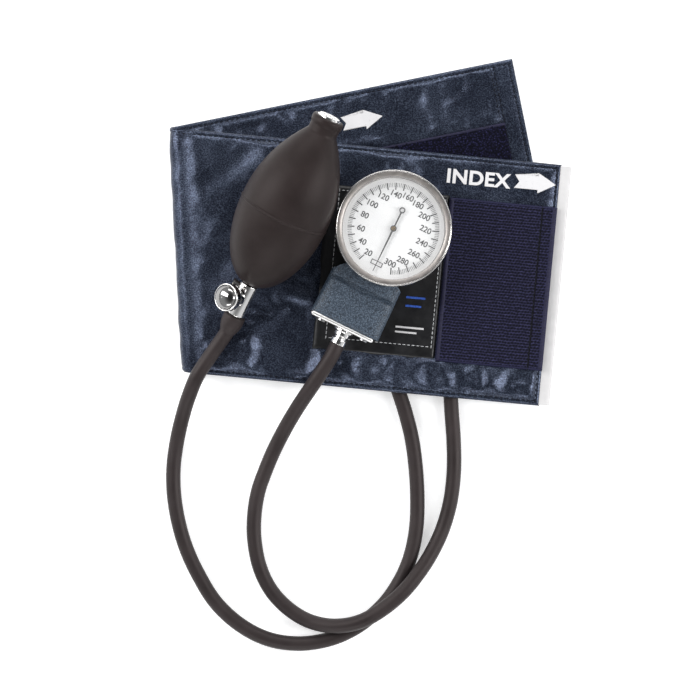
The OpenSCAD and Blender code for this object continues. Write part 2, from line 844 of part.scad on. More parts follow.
module valve_side_plug() {
    color("#dfe1e4")
        in_bulb() translate([0, 0, -2.2]) rotate([0, -90, 0]) {
            translate([0, 0, 3.3]) cylinder(r = 0.9, h = 1);
            translate([0, 0, barrel_r]) cylinder(r = 1.7, h = 2.2);
            translate([0, 0, barrel_r + 2.2]) cylinder(r = 2.1, h = 0.9);
        }
}

module outlet_seat() {
    color("#a9abb0") in_bulb() ring(2.15, 1, 1.2, 2.2);
}

module outlet_ball() {
    color("#e8e8ea") in_bulb() translate([0, 0, -0.2]) sphere(r = 1.7);
}

module outlet_stop() {
    color("#a9abb0") in_bulb() ring(2.15, 0.9, -3.35, -2.8);
}

// Needle that closes the bleed hole
module valve_needle() {
    color("#c6a04e")
        at_stem() rotate_extrude() polygon([
            [0, 3.2], [0.6, 3.2], [1.5, 4.2], [1.5, 5], [0, 5],
        ]);
}

module release_stem() {
    color("#c9cbcf")
        at_stem() {
            translate([0, 0, 5.05]) cylinder(r = 1.85, h = 1.7);
            translate([0, 0, 6.7]) cylinder(r = 1.6, h = 4.3);
        }
}

// Domed thumb knob
module release_knob() {
    rim_r = 5.7;
    low = 9;
    rim_top = 12;
    dome_h = 3.2;
    color("#e3e5e8")
        at_stem() difference() {
            rotate_extrude() polygon(concat(
                [[0, low], [rim_r - 0.6, low], [rim_r, low + 0.6], [rim_r, rim_top - 0.3]],
                [for (a = [0:10:90]) [(rim_r - 0.5) * cos(a), rim_top + dome_h * sin(a)]]
            ));
            translate([0, 0, low - 1]) cylinder(r = 1.6 + gap, h = 3.1);
        }
}

module release_o_ring() {
    color("#1c1b1b") at_stem() ring(4.3, 2.1, boss_top, boss_top + 0.9);
}

module lock_ring() {
    color("#bfc1c5")
        at_stem() difference() {
            ring(5.1, 1.65, boss_top + 1.05, 8.9);
            for (a = [0:20:340]) rotate(a) translate([5.3, 0, 0]) cylinder(r = 0.4, h = 12);
        }
}

// Tubes ----------------------------------------------------------------------------------

module bulb_tube() {
    color("#3a3331")
        swept_tube(
            concat(
                [bulb_axis_point(barrel_end), bulb_axis_point(barrel_end - 8)],
                bulb_route,
                [port_point(0, port_reach + 6), port_point(0, port_reach)]
            ),
            tube_d / 2, tube_bore / 2, tube_sides
        );
}

module gauge_tube() {
    color("#3a3331")
        swept_tube(
            concat(
                [gauge_point(0, nipple_end, duct_z), gauge_point(0, nipple_end - 6, duct_z)],
                gauge_route,
                [port_point(1, port_reach + 6), port_point(1, port_reach)]
            ),
            tube_d / 2, tube_bore / 2, tube_sides
        );
}

// Moulded end that grips the bulb's tube on the valve
module bulb_tube_boot() {
    inner = tube_d / 2 + gap;
    color("#332c2b")
        in_bulb() rotate_extrude() polygon([
            [inner, barrel_end], [4.9, barrel_end], [4.9, barrel_end - 5],
            [inner + 0.5, barrel_end - 8], [inner, barrel_end - 8],
        ]);
}

tail_outer_cover();
tail_inner_cover();
loop_patch();
tail_end_hem();
fold_web();
front_inner_cover();
front_outer_cover();
bladder();
bladder_ports();
index_strip();
hook_patch();
label_patch();
gauge_strap();
gauge_neck();
end_plate();
end_plate_screws();
port_nipple();
gauge_case();
bezel_ring();
lens();
lens_gasket();
dial_plate();
capsule_stud();
capsule_lower();
capsule_upper();
movement_plate();
movement_pillars();
movement_screws();
movement_bridge();
bridge_posts();
rocking_shaft();
sector_gear();
pinion_arbor();
hairspring();
pointer();
pointer_hub();
bulb_shell();
inlet_valve_body();
inlet_ball();
inlet_retainer();
inlet_cap();
valve_barrel();
valve_side_plug();
outlet_seat();
outlet_ball();
outlet_stop();
valve_needle();
release_stem();
release_knob();
release_o_ring();
lock_ring();
bulb_tube();
gauge_tube();
bulb_tube_boot();
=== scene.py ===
"""Looks of the folded child-size blood pressure cuff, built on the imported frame.

Lengths are in millimetres and are turned into metres where a mesh is made.
"""

import json
import math

import bmesh
import bpy
from mathutils import Matrix, Vector, noise


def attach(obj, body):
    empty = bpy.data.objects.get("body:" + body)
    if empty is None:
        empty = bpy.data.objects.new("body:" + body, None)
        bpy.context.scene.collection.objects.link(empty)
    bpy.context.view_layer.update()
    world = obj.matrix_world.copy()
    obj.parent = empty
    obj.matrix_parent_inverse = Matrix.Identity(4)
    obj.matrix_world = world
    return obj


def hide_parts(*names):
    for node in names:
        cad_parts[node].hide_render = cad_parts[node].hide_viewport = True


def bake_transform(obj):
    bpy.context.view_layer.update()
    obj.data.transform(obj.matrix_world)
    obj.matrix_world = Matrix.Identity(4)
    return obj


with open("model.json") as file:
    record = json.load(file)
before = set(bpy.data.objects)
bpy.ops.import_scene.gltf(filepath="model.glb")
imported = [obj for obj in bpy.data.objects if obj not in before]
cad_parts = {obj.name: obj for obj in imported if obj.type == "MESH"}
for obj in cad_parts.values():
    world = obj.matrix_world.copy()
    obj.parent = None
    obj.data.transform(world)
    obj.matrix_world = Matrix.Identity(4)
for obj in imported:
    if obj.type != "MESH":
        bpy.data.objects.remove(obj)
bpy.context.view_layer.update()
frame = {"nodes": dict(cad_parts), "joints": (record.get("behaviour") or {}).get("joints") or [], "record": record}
MM = 0.001

# ---- sizes, mm

JOINTS = {joint["name"]: joint for joint in frame["joints"]}
FOLD = Vector(JOINTS["cuff_fold"]["pos_m"]) / MM
FOLD_R = FOLD.z
GAUGE = Vector(JOINTS["pointer_turn"]["pos_m"]) / MM

CUFF_W = 108
FRONT_LEN = 163.3
TAIL_LEN = 160
SKEW = math.radians(8.4)
LEAN = math.tan(SKEW)
TILT = math.radians(3)
CLOTH_T = 1
FOLD_DRIFT = math.pi * (FOLD_R - CLOTH_T) * LEAN
FRONT_BASE = 7.6
HEM = 2.1
INDEX_OUT = 4.5

LABEL_LEN, LABEL_W, LABEL_T, LABEL_Y = 54.5, 73.5, 0.6, -1.3
HOOK_LEN, HOOK_W, HOOK_T, HOOK_Y = 48, 73, 1.6, -1.9
LOOP_LEN, LOOP_W, LOOP_T = 120, 53, 1.2
TAIL_HEM_W = 9

GAUGE_TURN = math.radians(26)
GAUGE_BASE_Z = 13.2
DIAL_TOP = GAUGE_BASE_Z + 17.1
DIAL_INK_T = 0.12
NECK_END = -47
DUCT_Z = GAUGE_BASE_Z + 7
NIPPLE_END = -56

BULB_AT = Vector((-37.2, 7.65, 33))
BULB_TURN = math.radians(26.4)
BULB_TILT = math.radians(15)
BULB_R, BULB_LEN, BULB_WAIST = 20, 81, 36
NECK_R = 6.6
BARREL_END = -15

STEM_S = -6.8
STEM_LEAN = math.radians(30)
BARB_R = 1.6

TUBE_D = 6.6
PORT_AT = [Vector((9.6, -52.9, 3.6)), Vector((36, -55.4, 3.6))]
PORT_DIR = [Vector((0.168, -0.986, 0)), Vector((0.03, -1, 0))]
PORT_REACH = 8
BULB_ROUTE = [
    (-70, -54, 15.9), (-76, -63, 15.2), (-80, -72, 12.4), (-83.2, -81, 7.4),
    (-86, -92, 4.2), (-87.7, -104, 3.4), (-87.6, -116, 3.4), (-85.8, -128, 3.4),
    (-82.4, -140, 3.4), (-77, -152, 3.4), (-69, -165, 3.4), (-58, -175.2, 3.4),
    (-45.5, -181.6, 3.4), (-32, -183.7, 3.4), (-19, -182, 3.4), (-8, -177.6, 3.4),
    (1, -171.3, 3.4), (8.5, -163.7, 3.4), (15, -153.4, 3.4), (19, -143, 3.4),
    (21.2, -131, 3.4), (21.6, -118, 3.4), (20.8, -104, 3.4), (19, -91, 3.4),
    (15.8, -78.5, 3.4),
]
GAUGE_ROUTE = [
    (-22.5, -63.6, 18.2), (-27.5, -71, 15.4), (-32.5, -78.5, 11.2),
    (-37.7, -87.3, 6.6), (-42.6, -96.8, 4), (-46.5, -106, 3.4),
    (-49.8, -115.5, 3.4), (-51.5, -126, 3.4), (-51.5, -137, 3.4),
    (-49.2, -149, 3.4), (-44.2, -159.5, 3.4), (-36.5, -167.8, 3.6),
    (-27, -173.3, 5.2), (-16, -175.1, 8.4), (-5, -173.2, 10.6), (5, -167.9, 11),
    (14.5, -160.2, 10.4), (22, -151.5, 8.2), (28, -142.5, 5.4), (33, -132, 3.6),
    (36.5, -119.5, 3.4), (38, -106, 3.4), (37.9, -93, 3.4), (37, -80, 3.4),
]

# ---- local frames

FRONT_DIR = SKEW - TILT
FOLD_AT = Matrix.Translation((FOLD.x, FOLD.y, 0))
IN_FOLD = FOLD_AT @ Matrix.Rotation(TILT, 4, "Z")
IN_FRONT = FOLD_AT @ Matrix.Rotation(-FRONT_DIR, 4, "Z")
IN_TAIL = IN_FOLD @ Matrix.Translation((0, FOLD_DRIFT, 0)) @ Matrix.Rotation(SKEW, 4, "Z")
IN_GAUGE = Matrix.Translation((GAUGE.x, GAUGE.y, 0)) @ Matrix.Rotation(-GAUGE_TURN, 4, "Z")
IN_BULB = (
    Matrix.Translation(BULB_AT)
    @ Matrix.Rotation(-BULB_TURN, 4, "Z")
    @ Matrix.Rotation(BULB_TILT - math.pi / 2, 4, "X")
    @ Matrix.Translation((0, 0, -BULB_WAIST))
)
IN_STEM = (
    IN_BULB
    @ Matrix.Translation((0, 0, STEM_S))
    @ Matrix.Rotation(-STEM_LEAN, 4, "Z")
    @ Matrix.Rotation(math.pi / 2, 4, "X")
)
IN_STUB = IN_GAUGE @ Matrix.Translation((0, 0, DUCT_Z)) @ Matrix.Rotation(math.pi / 2, 4, "X")


def smooth(t):
    """Eased step from 0 to 1."""
    t = min(1, max(0, t))
    return t * t * (3 - 2 * t)


def wave(x, y, size, seed):
    """Smooth noise between about -1 and 1, with features of the given size."""
    return noise.noise(Vector((x / size, y / size, seed)))


# ---- materials


def feed(tree, socket, value):
    """Sets a socket to a value, or links it to another node's output."""
    if isinstance(value, bpy.types.NodeSocket):
        tree.links.new(value, socket)
    else:
        socket.default_value = value


def add_node(tree, kind, **inputs):
    node = tree.nodes.new("ShaderNode" + kind)
    for key, value in inputs.items():
        feed(tree, node.inputs[key.replace("_", " ")], value)
    return node


class Shader:
    """A node material built around one Principled BSDF."""

    def __init__(self, name, color, rough, metal=0.0, **sockets):
        self.mat = bpy.data.materials.new(name)
        self.mat.use_nodes = True
        self.tree = self.mat.node_tree
        self.coords = add_node(self.tree, "TexCoord").outputs
        self.set(Base_Color=(*color, 1), Roughness=rough, Metallic=metal, **sockets)

    def set(self, **sockets):
        """Sets or links the shader's own sockets."""
        for key, value in sockets.items():
            feed(self.tree, self.tree.nodes["Principled BSDF"].inputs[key.replace("_", " ")], value)

    def noise(self, size, detail=4, rough=0.6, stretch=(1, 1, 1)):
        """Noise factor with features about size millimetres across."""
        spot = add_node(self.tree, "Mapping", Vector=self.coords["Object"], Scale=stretch).outputs[0]
        scale = 1 / (size * MM)
        tex = add_node(self.tree, "TexNoise", Vector=spot, Scale=scale, Detail=detail, Roughness=rough)
        return tex.outputs["Fac"]

    def cells(self, size, feature="F1"):
        """Distance inside random cells about size millimetres across."""
        tex = add_node(self.tree, "TexVoronoi", Vector=self.coords["Object"], Scale=1 / (size * MM))
        tex.feature = feature
        return tex.outputs["Distance"]

    def weave(self, pitch):
        """Over-and-under thread pattern with the given pitch in millimetres."""
        split = add_node(self.tree, "SeparateXYZ", Vector=self.coords["UV"])
        turn = 2 * math.pi / (pitch * MM)
        waves = [self.math("SINE", self.math("MULTIPLY", split.outputs[axis], turn)) for axis in "XY"]
        return self.math("MULTIPLY", *waves)

    def math(self, kind, a, b=0.0):
        node = add_node(self.tree, "Math")
        node.operation = kind
        for socket, value in zip(node.inputs, (a, b)):
            feed(self.tree, socket, value)
        return node.outputs[0]

    def attribute(self, name):
        node = add_node(self.tree, "Attribute")
        node.attribute_name = name
        return node.outputs["Fac"]

    def color(self, factor, stops):
        """Base colour from a ramp through (position, colour) stops."""
        node = add_node(self.tree, "ValToRGB", Fac=factor)
        marks = node.color_ramp.elements
        while len(marks) < len(stops):
            marks.new(0.5)
        for mark, (place, color) in zip(marks, stops):
            mark.position = place
            mark.color = (*color, 1)
        self.set(Base_Color=node.outputs[0])

    def rough(self, factor, low, high):
        """Roughness from low to high as the factor goes through its middle range."""
        span = add_node(self.tree, "MapRange", Value=factor,
                        From_Min=0.3, From_Max=0.7, To_Min=low, To_Max=high)
        self.set(Roughness=span.outputs[0])

    def bump(self, *layers):
        """Stacks (height, strength, distance in millimetres) bumps."""
        last = {}
        for height, strength, distance in layers:
            depth = distance * MM
            node = add_node(self.tree, "Bump", Strength=strength, Distance=depth, Height=height, **last)
            last = {"Normal": node.outputs[0]}
        self.set(**last)


def nylon():
    s = Shader("nylon", (0.03, 0.04, 0.07), 0.36, 0.66, Specular_IOR_Level=0.4)
    grain = s.noise(0.55, 1, 0.5)
    blot = s.noise(18, 3, 0.55)
    mixed = s.math("ADD", s.math("MULTIPLY", grain, 0.8), s.math("MULTIPLY", blot, 0.2))
    tones = [(0.34, (0.011, 0.0135, 0.025)), (0.5, (0.031, 0.039, 0.064)), (0.66, (0.083, 0.103, 0.15))]
    s.color(mixed, tones)
    s.rough(blot, 0.27, 0.35)
    s.bump((s.weave(0.55), 0.25, 0.04), (grain, 0.25, 0.1), (s.noise(9, 2), 0.3, 0.6))
    return s.mat


def hook_tape():
    s = Shader("hook_tape", (0.02, 0.02, 0.04), 0.6, Specular_IOR_Level=0.12)
    # Colour follows the relief: painted shade in the net's holes and the sewn groove, painted highlight on the
    # raised thread tops.
    tones = [(0.1, (0.001, 0.001, 0.003)), (0.45, (0.005, 0.005, 0.016)), (1, (0.05, 0.05, 0.125))]
    s.color(s.attribute("relief_shade"), tones)
    s.bump((s.noise(0.2, 3), 0.4, 0.08))
    return s.mat


def loop_tape():
    s = Shader("loop_tape", (0.01, 0.009, 0.02), 0.85, Specular_IOR_Level=0.1)
    specks = s.cells(0.9)
    tones = [(0.0, (0.05, 0.05, 0.15)), (0.22, (0.01, 0.01, 0.032)), (0.6, (0.002, 0.002, 0.006))]
    s.color(specks, tones)
    s.bump((specks, 0.9, 0.3), (s.noise(0.3, 3), 0.6, 0.15))
    return s.mat


def selvedge():
    s = Shader("selvedge", (0.02, 0.02, 0.05), 0.6, Specular_IOR_Level=0.2)
    ribs = s.noise(0.5, 2, stretch=(0.2, 1, 1))
    s.color(ribs, [(0.3, (0.01, 0.01, 0.024)), (0.7, (0.024, 0.023, 0.056))])
    s.bump((ribs, 0.5, 0.1))
    return s.mat


def black_label():
    s = Shader("black_label", (0.006, 0.006, 0.007), 0.38, Specular_IOR_Level=0.45)
    s.color(s.noise(9, 3), [(0.3, (0.0045, 0.0045, 0.005)), (0.7, (0.011, 0.011, 0.013))])
    s.rough(s.noise(5, 3), 0.3, 0.48)
    s.bump((s.cells(0.55), 0.18, 0.06), (s.noise(3, 3), 0.2, 0.25))
    return s.mat


def leatherette():
    s = Shader("leatherette", (0.06, 0.11, 0.16), 0.5, Specular_IOR_Level=0.5)
    pebble = s.cells(0.55, "SMOOTH_F1")
    fine = s.noise(0.36, 4, 0.7)
    mixed = s.math("ADD", s.math("MULTIPLY", pebble, 0.6), s.math("MULTIPLY", fine, 0.5))
    # Pebble tops are painted lighter and the crevices between them darker, following the pebble bump: painted
    # highlight and painted shade, with random tone from the fine noise.
    tones = [(0.25, (0.12, 0.16, 0.21)), (0.5, (0.032, 0.048, 0.072)), (0.75, (0.004, 0.008, 0.015))]
    s.color(mixed, tones)
    s.rough(fine, 0.38, 0.6)
    s.bump((pebble, 0.75, -0.22), (fine, 0.35, 0.1))
    return s.mat


def rubber(name, dark, light, low, high, shine):
    s = Shader(name, dark, (low + high) / 2, Specular_IOR_Level=shine, Specular_Tint=(1, 0.9, 0.88, 1))
    haze = s.noise(14, 4, 0.6)
    s.color(haze, [(0.3, dark), (0.7, light)])
    s.rough(haze, low, high)
    s.bump((s.noise(0.35, 3, 0.7), 0.22, 0.05), (s.noise(2.2, 3), 0.12, 0.15))
    return s.mat


def noisy(name, color, rough, metal=0.0, tones=None, gloss=None, bump=None, **sockets):
    """A material whose colour, roughness and bump each follow a noise of their own.

    tones is (noise, colour stops), gloss is (noise, low, high) and bump is (noise, strength,
    distance), where each noise is (size, detail, roughness, stretch) or the start of that.
    """
    s = Shader(name, color, rough, metal, **sockets)
    if tones:
        s.color(s.noise(*tones[0]), tones[1])
    if gloss:
        s.rough(s.noise(*gloss[0]), *gloss[1:])
    if bump:
        s.bump((s.noise(*bump[0]), *bump[1:]))
    return s.mat


def thread(name, color):
    dim = tuple(c * 0.7 for c in color)
    return noisy(name, color, 0.6, tones=((0.4, 2), [(0.35, dim), (0.65, color)]),
                 bump=((0.25, 2, 0.6, (1, 1, 3)), 0.5, 0.05), Specular_IOR_Level=0.2)


def chrome(name="chrome_metal", tone=0.82, low=0.05, high=0.12):
    return noisy(name, (tone, tone * 0.985, tone * 0.97), (low + high) / 2, 1.0,
                 gloss=((3, 5, 0.7), low, high), bump=((1.5, 3), 0.03, 0.02))


NYLON = nylon()
NAVY_THREAD = thread("navy_thread", (0.004, 0.005, 0.01))
WHITE_THREAD = thread("white_thread", (0.75, 0.76, 0.78))
HOOK = hook_tape()
LOOP = loop_tape()
SELVEDGE = selvedge()
LABEL = black_label()
STRAP = leatherette()
STRIP = noisy(
    "white_plastic", (0.78, 0.78, 0.8), 0.45, bump=((0.6, 3), 0.15, 0.05),
    tones=((6, 3), [(0.35, (0.57, 0.56, 0.56)), (0.65, (0.62, 0.61, 0.61))]),
)
PRINT = noisy(
    "white_print", (0.85, 0.85, 0.86), 0.55, bump=((0.5, 3), 0.3, 0.05),
    tones=((1.2, 4, 0.7), [(0.25, (0.5, 0.5, 0.52)), (0.42, (0.66, 0.65, 0.66))]),
)
BLUE = noisy(
    "blue_print", (0.02, 0.08, 0.45), 0.5,
    tones=((0.8, 3), [(0.3, (0.012, 0.05, 0.3)), (0.6, (0.03, 0.11, 0.5))]),
)
BULB_RUBBER = rubber("bulb_rubber", (0.015, 0.0108, 0.0105), (0.022, 0.0162, 0.0158), 0.42, 0.52, 0.16)
TUBE_RUBBER = rubber("tube_rubber", (0.017, 0.013, 0.0132), (0.027, 0.021, 0.0214), 0.46, 0.56, 0.3)
CHROME = chrome()
# Darker copy of the chrome for the knob's dome: painted shade standing in for the dark reflections on the polished
# dome.
KNOB = chrome("knob_metal", 0.26, 0.06, 0.12)
PLATE = chrome("plate_metal", 0.9, 0.3, 0.42)
BEZEL = noisy(
    "bezel_metal", (0.62, 0.6, 0.585), 0.2, 1.0,
    gloss=((2.5, 5, 0.7), 0.14, 0.28), bump=((0.25, 2, 0.6, (1, 1, 6)), 0.06, 0.03),
)
SATIN = noisy(
    "satin_metal", (0.5, 0.465, 0.44), 0.4, 1.0,
    tones=((5, 3), [(0.3, (0.44, 0.405, 0.385)), (0.7, (0.56, 0.52, 0.49))]),
    gloss=((2, 4), 0.34, 0.46), bump=((0.25, 2), 0.06, 0.03),
)
STEEL = noisy(
    "steel", (0.46, 0.46, 0.47), 0.35, 1.0,
    tones=((4, 3), [(0.3, (0.38, 0.38, 0.39)), (0.7, (0.54, 0.54, 0.55))]),
    gloss=((1.2, 4), 0.25, 0.45), bump=((0.2, 2, 0.6, (1, 8, 1)), 0.15, 0.04),
)
BRASS = noisy(
    "brass", (0.55, 0.34, 0.12), 0.3, 1.0,
    tones=((2, 4), [(0.3, (0.42, 0.25, 0.08)), (0.7, (0.66, 0.44, 0.17))]),
    gloss=((0.8, 4), 0.2, 0.42), bump=((0.3, 2), 0.1, 0.03),
)
ENAMEL = noisy(
    "dial_enamel", (0.93, 0.93, 0.93), 0.5, bump=((0.4, 2), 0.06, 0.02),
    tones=((5, 3), [(0.3, (0.77, 0.77, 0.77)), (0.7, (0.81, 0.81, 0.81))]),
)
INK = noisy(
    "ink", (0.02, 0.02, 0.022), 0.5,
    tones=((0.5, 3), [(0.3, (0.012, 0.012, 0.013)), (0.7, (0.035, 0.035, 0.038))]),
)
GLASS = noisy("lens_glass", (1, 1, 1), 0.02, bump=((20, 2), 0.02, 0.05), Specular_IOR_Level=0.5, Alpha=0.05)
FLOOR = noisy("floor_paint", (0.88, 0.88, 0.88), 0.7, Emission_Color=(1, 1, 1, 1), Emission_Strength=0.4)

# ---- mesh helpers

UP = Vector((0, 0, 1))


def add_object(name, data):
    obj = bpy.data.objects.new(name, data)
    bpy.context.scene.collection.objects.link(obj)
    return obj


def finish_piece(name, mesh, material, body, node=None):
    """Makes a mesh a piece: it rides on the CAD body and replaces the node, where one is named."""
    mesh.materials.clear()
    mesh.materials.append(material)
    obj = add_object(name, mesh)
    if body:
        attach(obj, body)
    if node:
        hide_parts(node)
    return obj


def make(name, verts, faces, material, body, slot, place=None, node=None, smooth_faces=True):
    """Makes a piece from points in millimetres."""
    place = place or Matrix()
    mesh = bpy.data.meshes.new(name)
    mesh.from_pydata([(place @ Vector(v)) * MM for v in verts], [], faces)
    mesh.validate()
    mesh.polygons.foreach_set("use_smooth", [smooth_faces] * len(mesh.polygons))
    return finish_piece(name, mesh, material, body, node)


def lathe(profile, steps):
    """Points and faces of a profile of (radius, height) turned about Z, closed on itself."""
    verts, faces = [], []
    n = len(profile)
    for i in range(steps):
        a = 2 * math.pi * i / steps
        verts += [(r * math.cos(a), r * math.sin(a), z) for r, z in profile]
    for i in range(steps):
        j = (i + 1) % steps
        for k in range(n):
            m = (k + 1) % n
            faces.append((i * n + k, j * n + k, j * n + m, i * n + m))
    return verts, faces


def skin(rings, around, base=0):
    """Faces over rings of points that follow each other, capped at both ends."""
    faces = []
    for i in range(rings - 1):
        for k in range(around):
            a, b = base + i * around + k, base + i * around + (k + 1) % around
            faces.append((a, b, b + around, a + around))
    faces.append(tuple(base + k for k in reversed(range(around))))
    faces.append(tuple(base + (rings - 1) * around + k for k in range(around)))
    return faces


def rounded(profile, radius, steps=3):
    """Rounds the corners of a closed profile of (radius, height) points."""
    out = []
    n = len(profile)
    for i in range(n):
        before, here, after = (Vector(profile[j % n]) for j in (i - 1, i, i + 1))
        reach = min(radius, (here - before).length / 2.2, (after - here).length / 2.2)
        a = here + (before - here).normalized() * reach
        b = here + (after - here).normalized() * reach
        for k in range(steps + 1):
            t = k / steps
            out.append(tuple(a * (1 - t) ** 2 + here * 2 * t * (1 - t) + b * t * t))
    return out


def turned(name, profile, soft, steps, material, slot, place, node=None, body="cuff"):
    """A piece turned about Z, with the corners of its profile rounded by soft."""
    verts, faces = lathe(rounded(profile, soft) if soft else profile, steps)
    return make(name, verts, faces, material, body, slot, place, node)


def laid(place, x, y, z):
    """A world point: (x, y) in a frame that lies flat, at height z above the table."""
    flat = place @ Vector((x, y, 0))
    return Vector((flat.x, flat.y, z))


def closed_sheet(outside, inside):
    """A closed thin sheet from two grids of points, outside[i][j] and inside[i][j]."""
    columns, rows = len(outside), len(outside[0])
    verts = [p for grid in (outside, inside) for line in grid for p in line]
    half = columns * rows
    faces = []
    for i in range(columns - 1):
        for j in range(rows - 1):
            a, b, c, d = i * rows + j, (i + 1) * rows + j, (i + 1) * rows + j + 1, i * rows + j + 1
            faces += [(a, b, c, d), (half + d, half + c, half + b, half + a)]
    near = [i * rows for i in range(columns)]
    rim = near + [near[-1] + j for j in range(1, rows)]
    rim += [a + rows - 1 for a in reversed(near[:-1])] + list(range(rows - 2, 0, -1))
    faces += [(b, a, half + a, half + b) for a, b in zip(rim, rim[1:] + rim[:1])]
    return verts, faces


def slab(name, xs, ys, top, low, *finish):
    """A closed sheet between two faces, whose heights are functions of (x, y)."""
    grids = [[[(x, y, face(x, y)) for y in ys] for x in xs] for face in (top, low)]
    return make(name, *closed_sheet(*grids), *finish)


def graded(low, high, step, fine, ends=(True, True)):
    """Stations from low to high, close together near the chosen ends."""
    near = [0, 0.35, 0.8, 1.3, 1.7, 2.1, 2.5, 3.0, 3.8, 5] if fine else [0]
    left = [low + d for d in near] if ends[0] else [low]
    right = [high - d for d in reversed(near)] if ends[1] else [high]
    count = max(1, round((right[0] - left[-1]) / step))
    middle = [left[-1] + (right[0] - left[-1]) * k / count for k in range(1, count)]
    return left + middle + right


def sample_path(path, spacing):
    """Points every spacing along a polyline, each with its direction."""
    out, carry = [], 0.0
    for a, b in zip(path, path[1:]):
        step = b - a
        while carry < step.length:
            out.append((a + step * (carry / step.length), step.normalized()))
            carry += spacing
        carry -= step.length
    return out


def stitches(name, path, material, body, length, gap, radius, up=UP):
    """A row of stitches lying along a polyline, each one a small bowed thread."""
    verts, faces = [], []
    ring, rings = 6, 7
    for at, along in sample_path(path, length + gap):
        side = along.cross(up).normalized()
        top = side.cross(along)
        base = len(verts)
        for i in range(rings):
            t = i / (rings - 1)
            bow = math.sin(math.pi * t)
            centre = at + along * (length * (t - 0.5)) + top * (radius * (0.9 * bow - 0.5))
            thick = radius * (0.45 + 0.55 * bow)
            for k in range(ring):
                a = 2 * math.pi * k / ring
                verts.append(tuple(centre + (side * math.cos(a) + top * math.sin(a)) * thick))
        faces += skin(rings, ring, base)
    make(name, verts, faces, material, body, "nylon_navy")


def lettering(name, text, height, place, material, body, bold, thick, spacing=1.0, wide=1.0):
    """Flat raised text, centred on the place, with capitals of the given height."""
    curve = bpy.data.curves.new(name, "FONT")
    curve.body = text
    curve.align_x = "CENTER"
    curve.align_y = "CENTER"
    curve.offset = bold
    curve.space_character = spacing
    curve.extrude = 0.02
    temp = add_object(name + "_text", curve)
    deps = bpy.context.evaluated_depsgraph_get()
    mesh = bpy.data.meshes.new_from_object(temp.evaluated_get(deps))
    bpy.data.objects.remove(temp)
    xs, ys, zs = zip(*(v.co for v in mesh.vertices))
    scale = height / (max(ys) - min(ys))
    mid_x, mid_y = (max(xs) + min(xs)) / 2, (max(ys) + min(ys)) / 2
    flat = thick / (max(zs) - min(zs))
    for v in mesh.vertices:
        x, y = (v.co.x - mid_x) * scale * wide, (v.co.y - mid_y) * scale
        spot = Vector((x, y, (v.co.z - min(zs)) * flat))
        v.co = (place @ spot) * MM
    return finish_piece(name, mesh, material, body)


def oblong(x0, y0, x1, y1):
    return [(x0, y0), (x1, y0), (x1, y1), (x0, y1)]


def flat_shapes(name, outlines, place, height_at, thick, material, slot):
    """Thin printed shapes: each outline of (x, y) points is laid at height_at(x, y)."""
    verts, faces = [], []
    for outline in outlines:
        base, n = len(verts), len(outline)
        for lift in (0, thick):
            verts += [(x, y, height_at(x, y) + lift) for x, y in outline]
        faces.append(tuple(base + n + k for k in range(n)))
        faces.append(tuple(base + k for k in reversed(range(n))))
        faces += [(base + k, base + (k + 1) % n, base + n + (k + 1) % n, base + n + k) for k in range(n)]
    make(name, verts, faces, material, "cuff", slot, place, smooth_faces=False)


# ---- camera and cords

CAMERA_AT = Vector((-8.6, -52, 911.4))
CAMERA_LENS = 104.1


def add_camera():
    """Looks straight down from 0.9 m above the front panel."""
    data = bpy.data.cameras.new("camera")
    data.sensor_width = 36
    data.lens = CAMERA_LENS
    data.clip_end = 20
    obj = add_object("camera", data)
    obj.location = CAMERA_AT * MM
    bpy.context.scene.camera = obj


def bulb_point(s):
    return IN_BULB @ Vector((0, 0, s))


def port_point(i, reach):
    return PORT_AT[i] + PORT_DIR[i] * reach


def catmull(points, per_span=6):
    """A smooth line through the points."""
    out = []
    for p0, p1, p2, p3 in zip(points[:1] + points, points, points[1:], points[2:] + points[-1:]):
        for k in range(per_span):
            t = k / per_span
            straight = 2 * p1 + (p2 - p0) * t
            bend = (2 * p0 - 5 * p1 + 4 * p2 - p3) * t ** 2 + (3 * p1 - 3 * p2 + p3 - p0) * t ** 3
            out.append(0.5 * (straight + bend))
    return out + [points[-1]]


def add_tube(name, points, node):
    """A rubber tube as one open spline, in the place of its CAD solid."""
    line = catmull(points)
    curve = bpy.data.curves.new(name, "CURVE")
    curve.dimensions = "3D"
    curve.bevel_depth = TUBE_D / 2 * MM
    curve.bevel_resolution = 7
    curve.use_fill_caps = True
    spline = curve.splines.new("POLY")
    spline.points.add(len(line) - 1)
    for point, at in zip(spline.points, line):
        point.co = (*(at * MM), 1)
    spline.use_smooth = True
    curve.materials.append(TUBE_RUBBER)
    obj = add_object(name, curve)
    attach(obj, "cuff")
    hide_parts(node)


add_camera()
add_tube(
    "bulb_hose",
    [bulb_point(BARREL_END), bulb_point(BARREL_END - 8)]
    + [Vector(p) for p in BULB_ROUTE]
    + [port_point(0, PORT_REACH + 6), port_point(0, PORT_REACH)],
    "bulb_tube",
)
add_tube(
    "gauge_hose",
    [laid(IN_GAUGE, 0, NIPPLE_END, DUCT_Z), laid(IN_GAUGE, 0, NIPPLE_END - 6, DUCT_Z)]
    + [Vector(p) for p in GAUGE_ROUTE]
    + [port_point(1, PORT_REACH + 6), port_point(1, PORT_REACH)],
    "gauge_tube",
)

# ---- cuff cloth

SIM_STEP = 2.1
SIM_SCALE = 0.01
SIM_FRAMES = 26
PANEL_START = -10.0
HIGHEST_FOLD, LOWEST_DIP, DIP_SHARE = 2.2, -0.5, 0.35
CLOTH = {
    "quality": 6, "mass": 0.2, "tension_stiffness": 20, "compression_stiffness": 20,
    "shear_stiffness": 8, "bending_stiffness": 0.25, "air_damping": 2, "vertex_group_mass": "sewn",
}


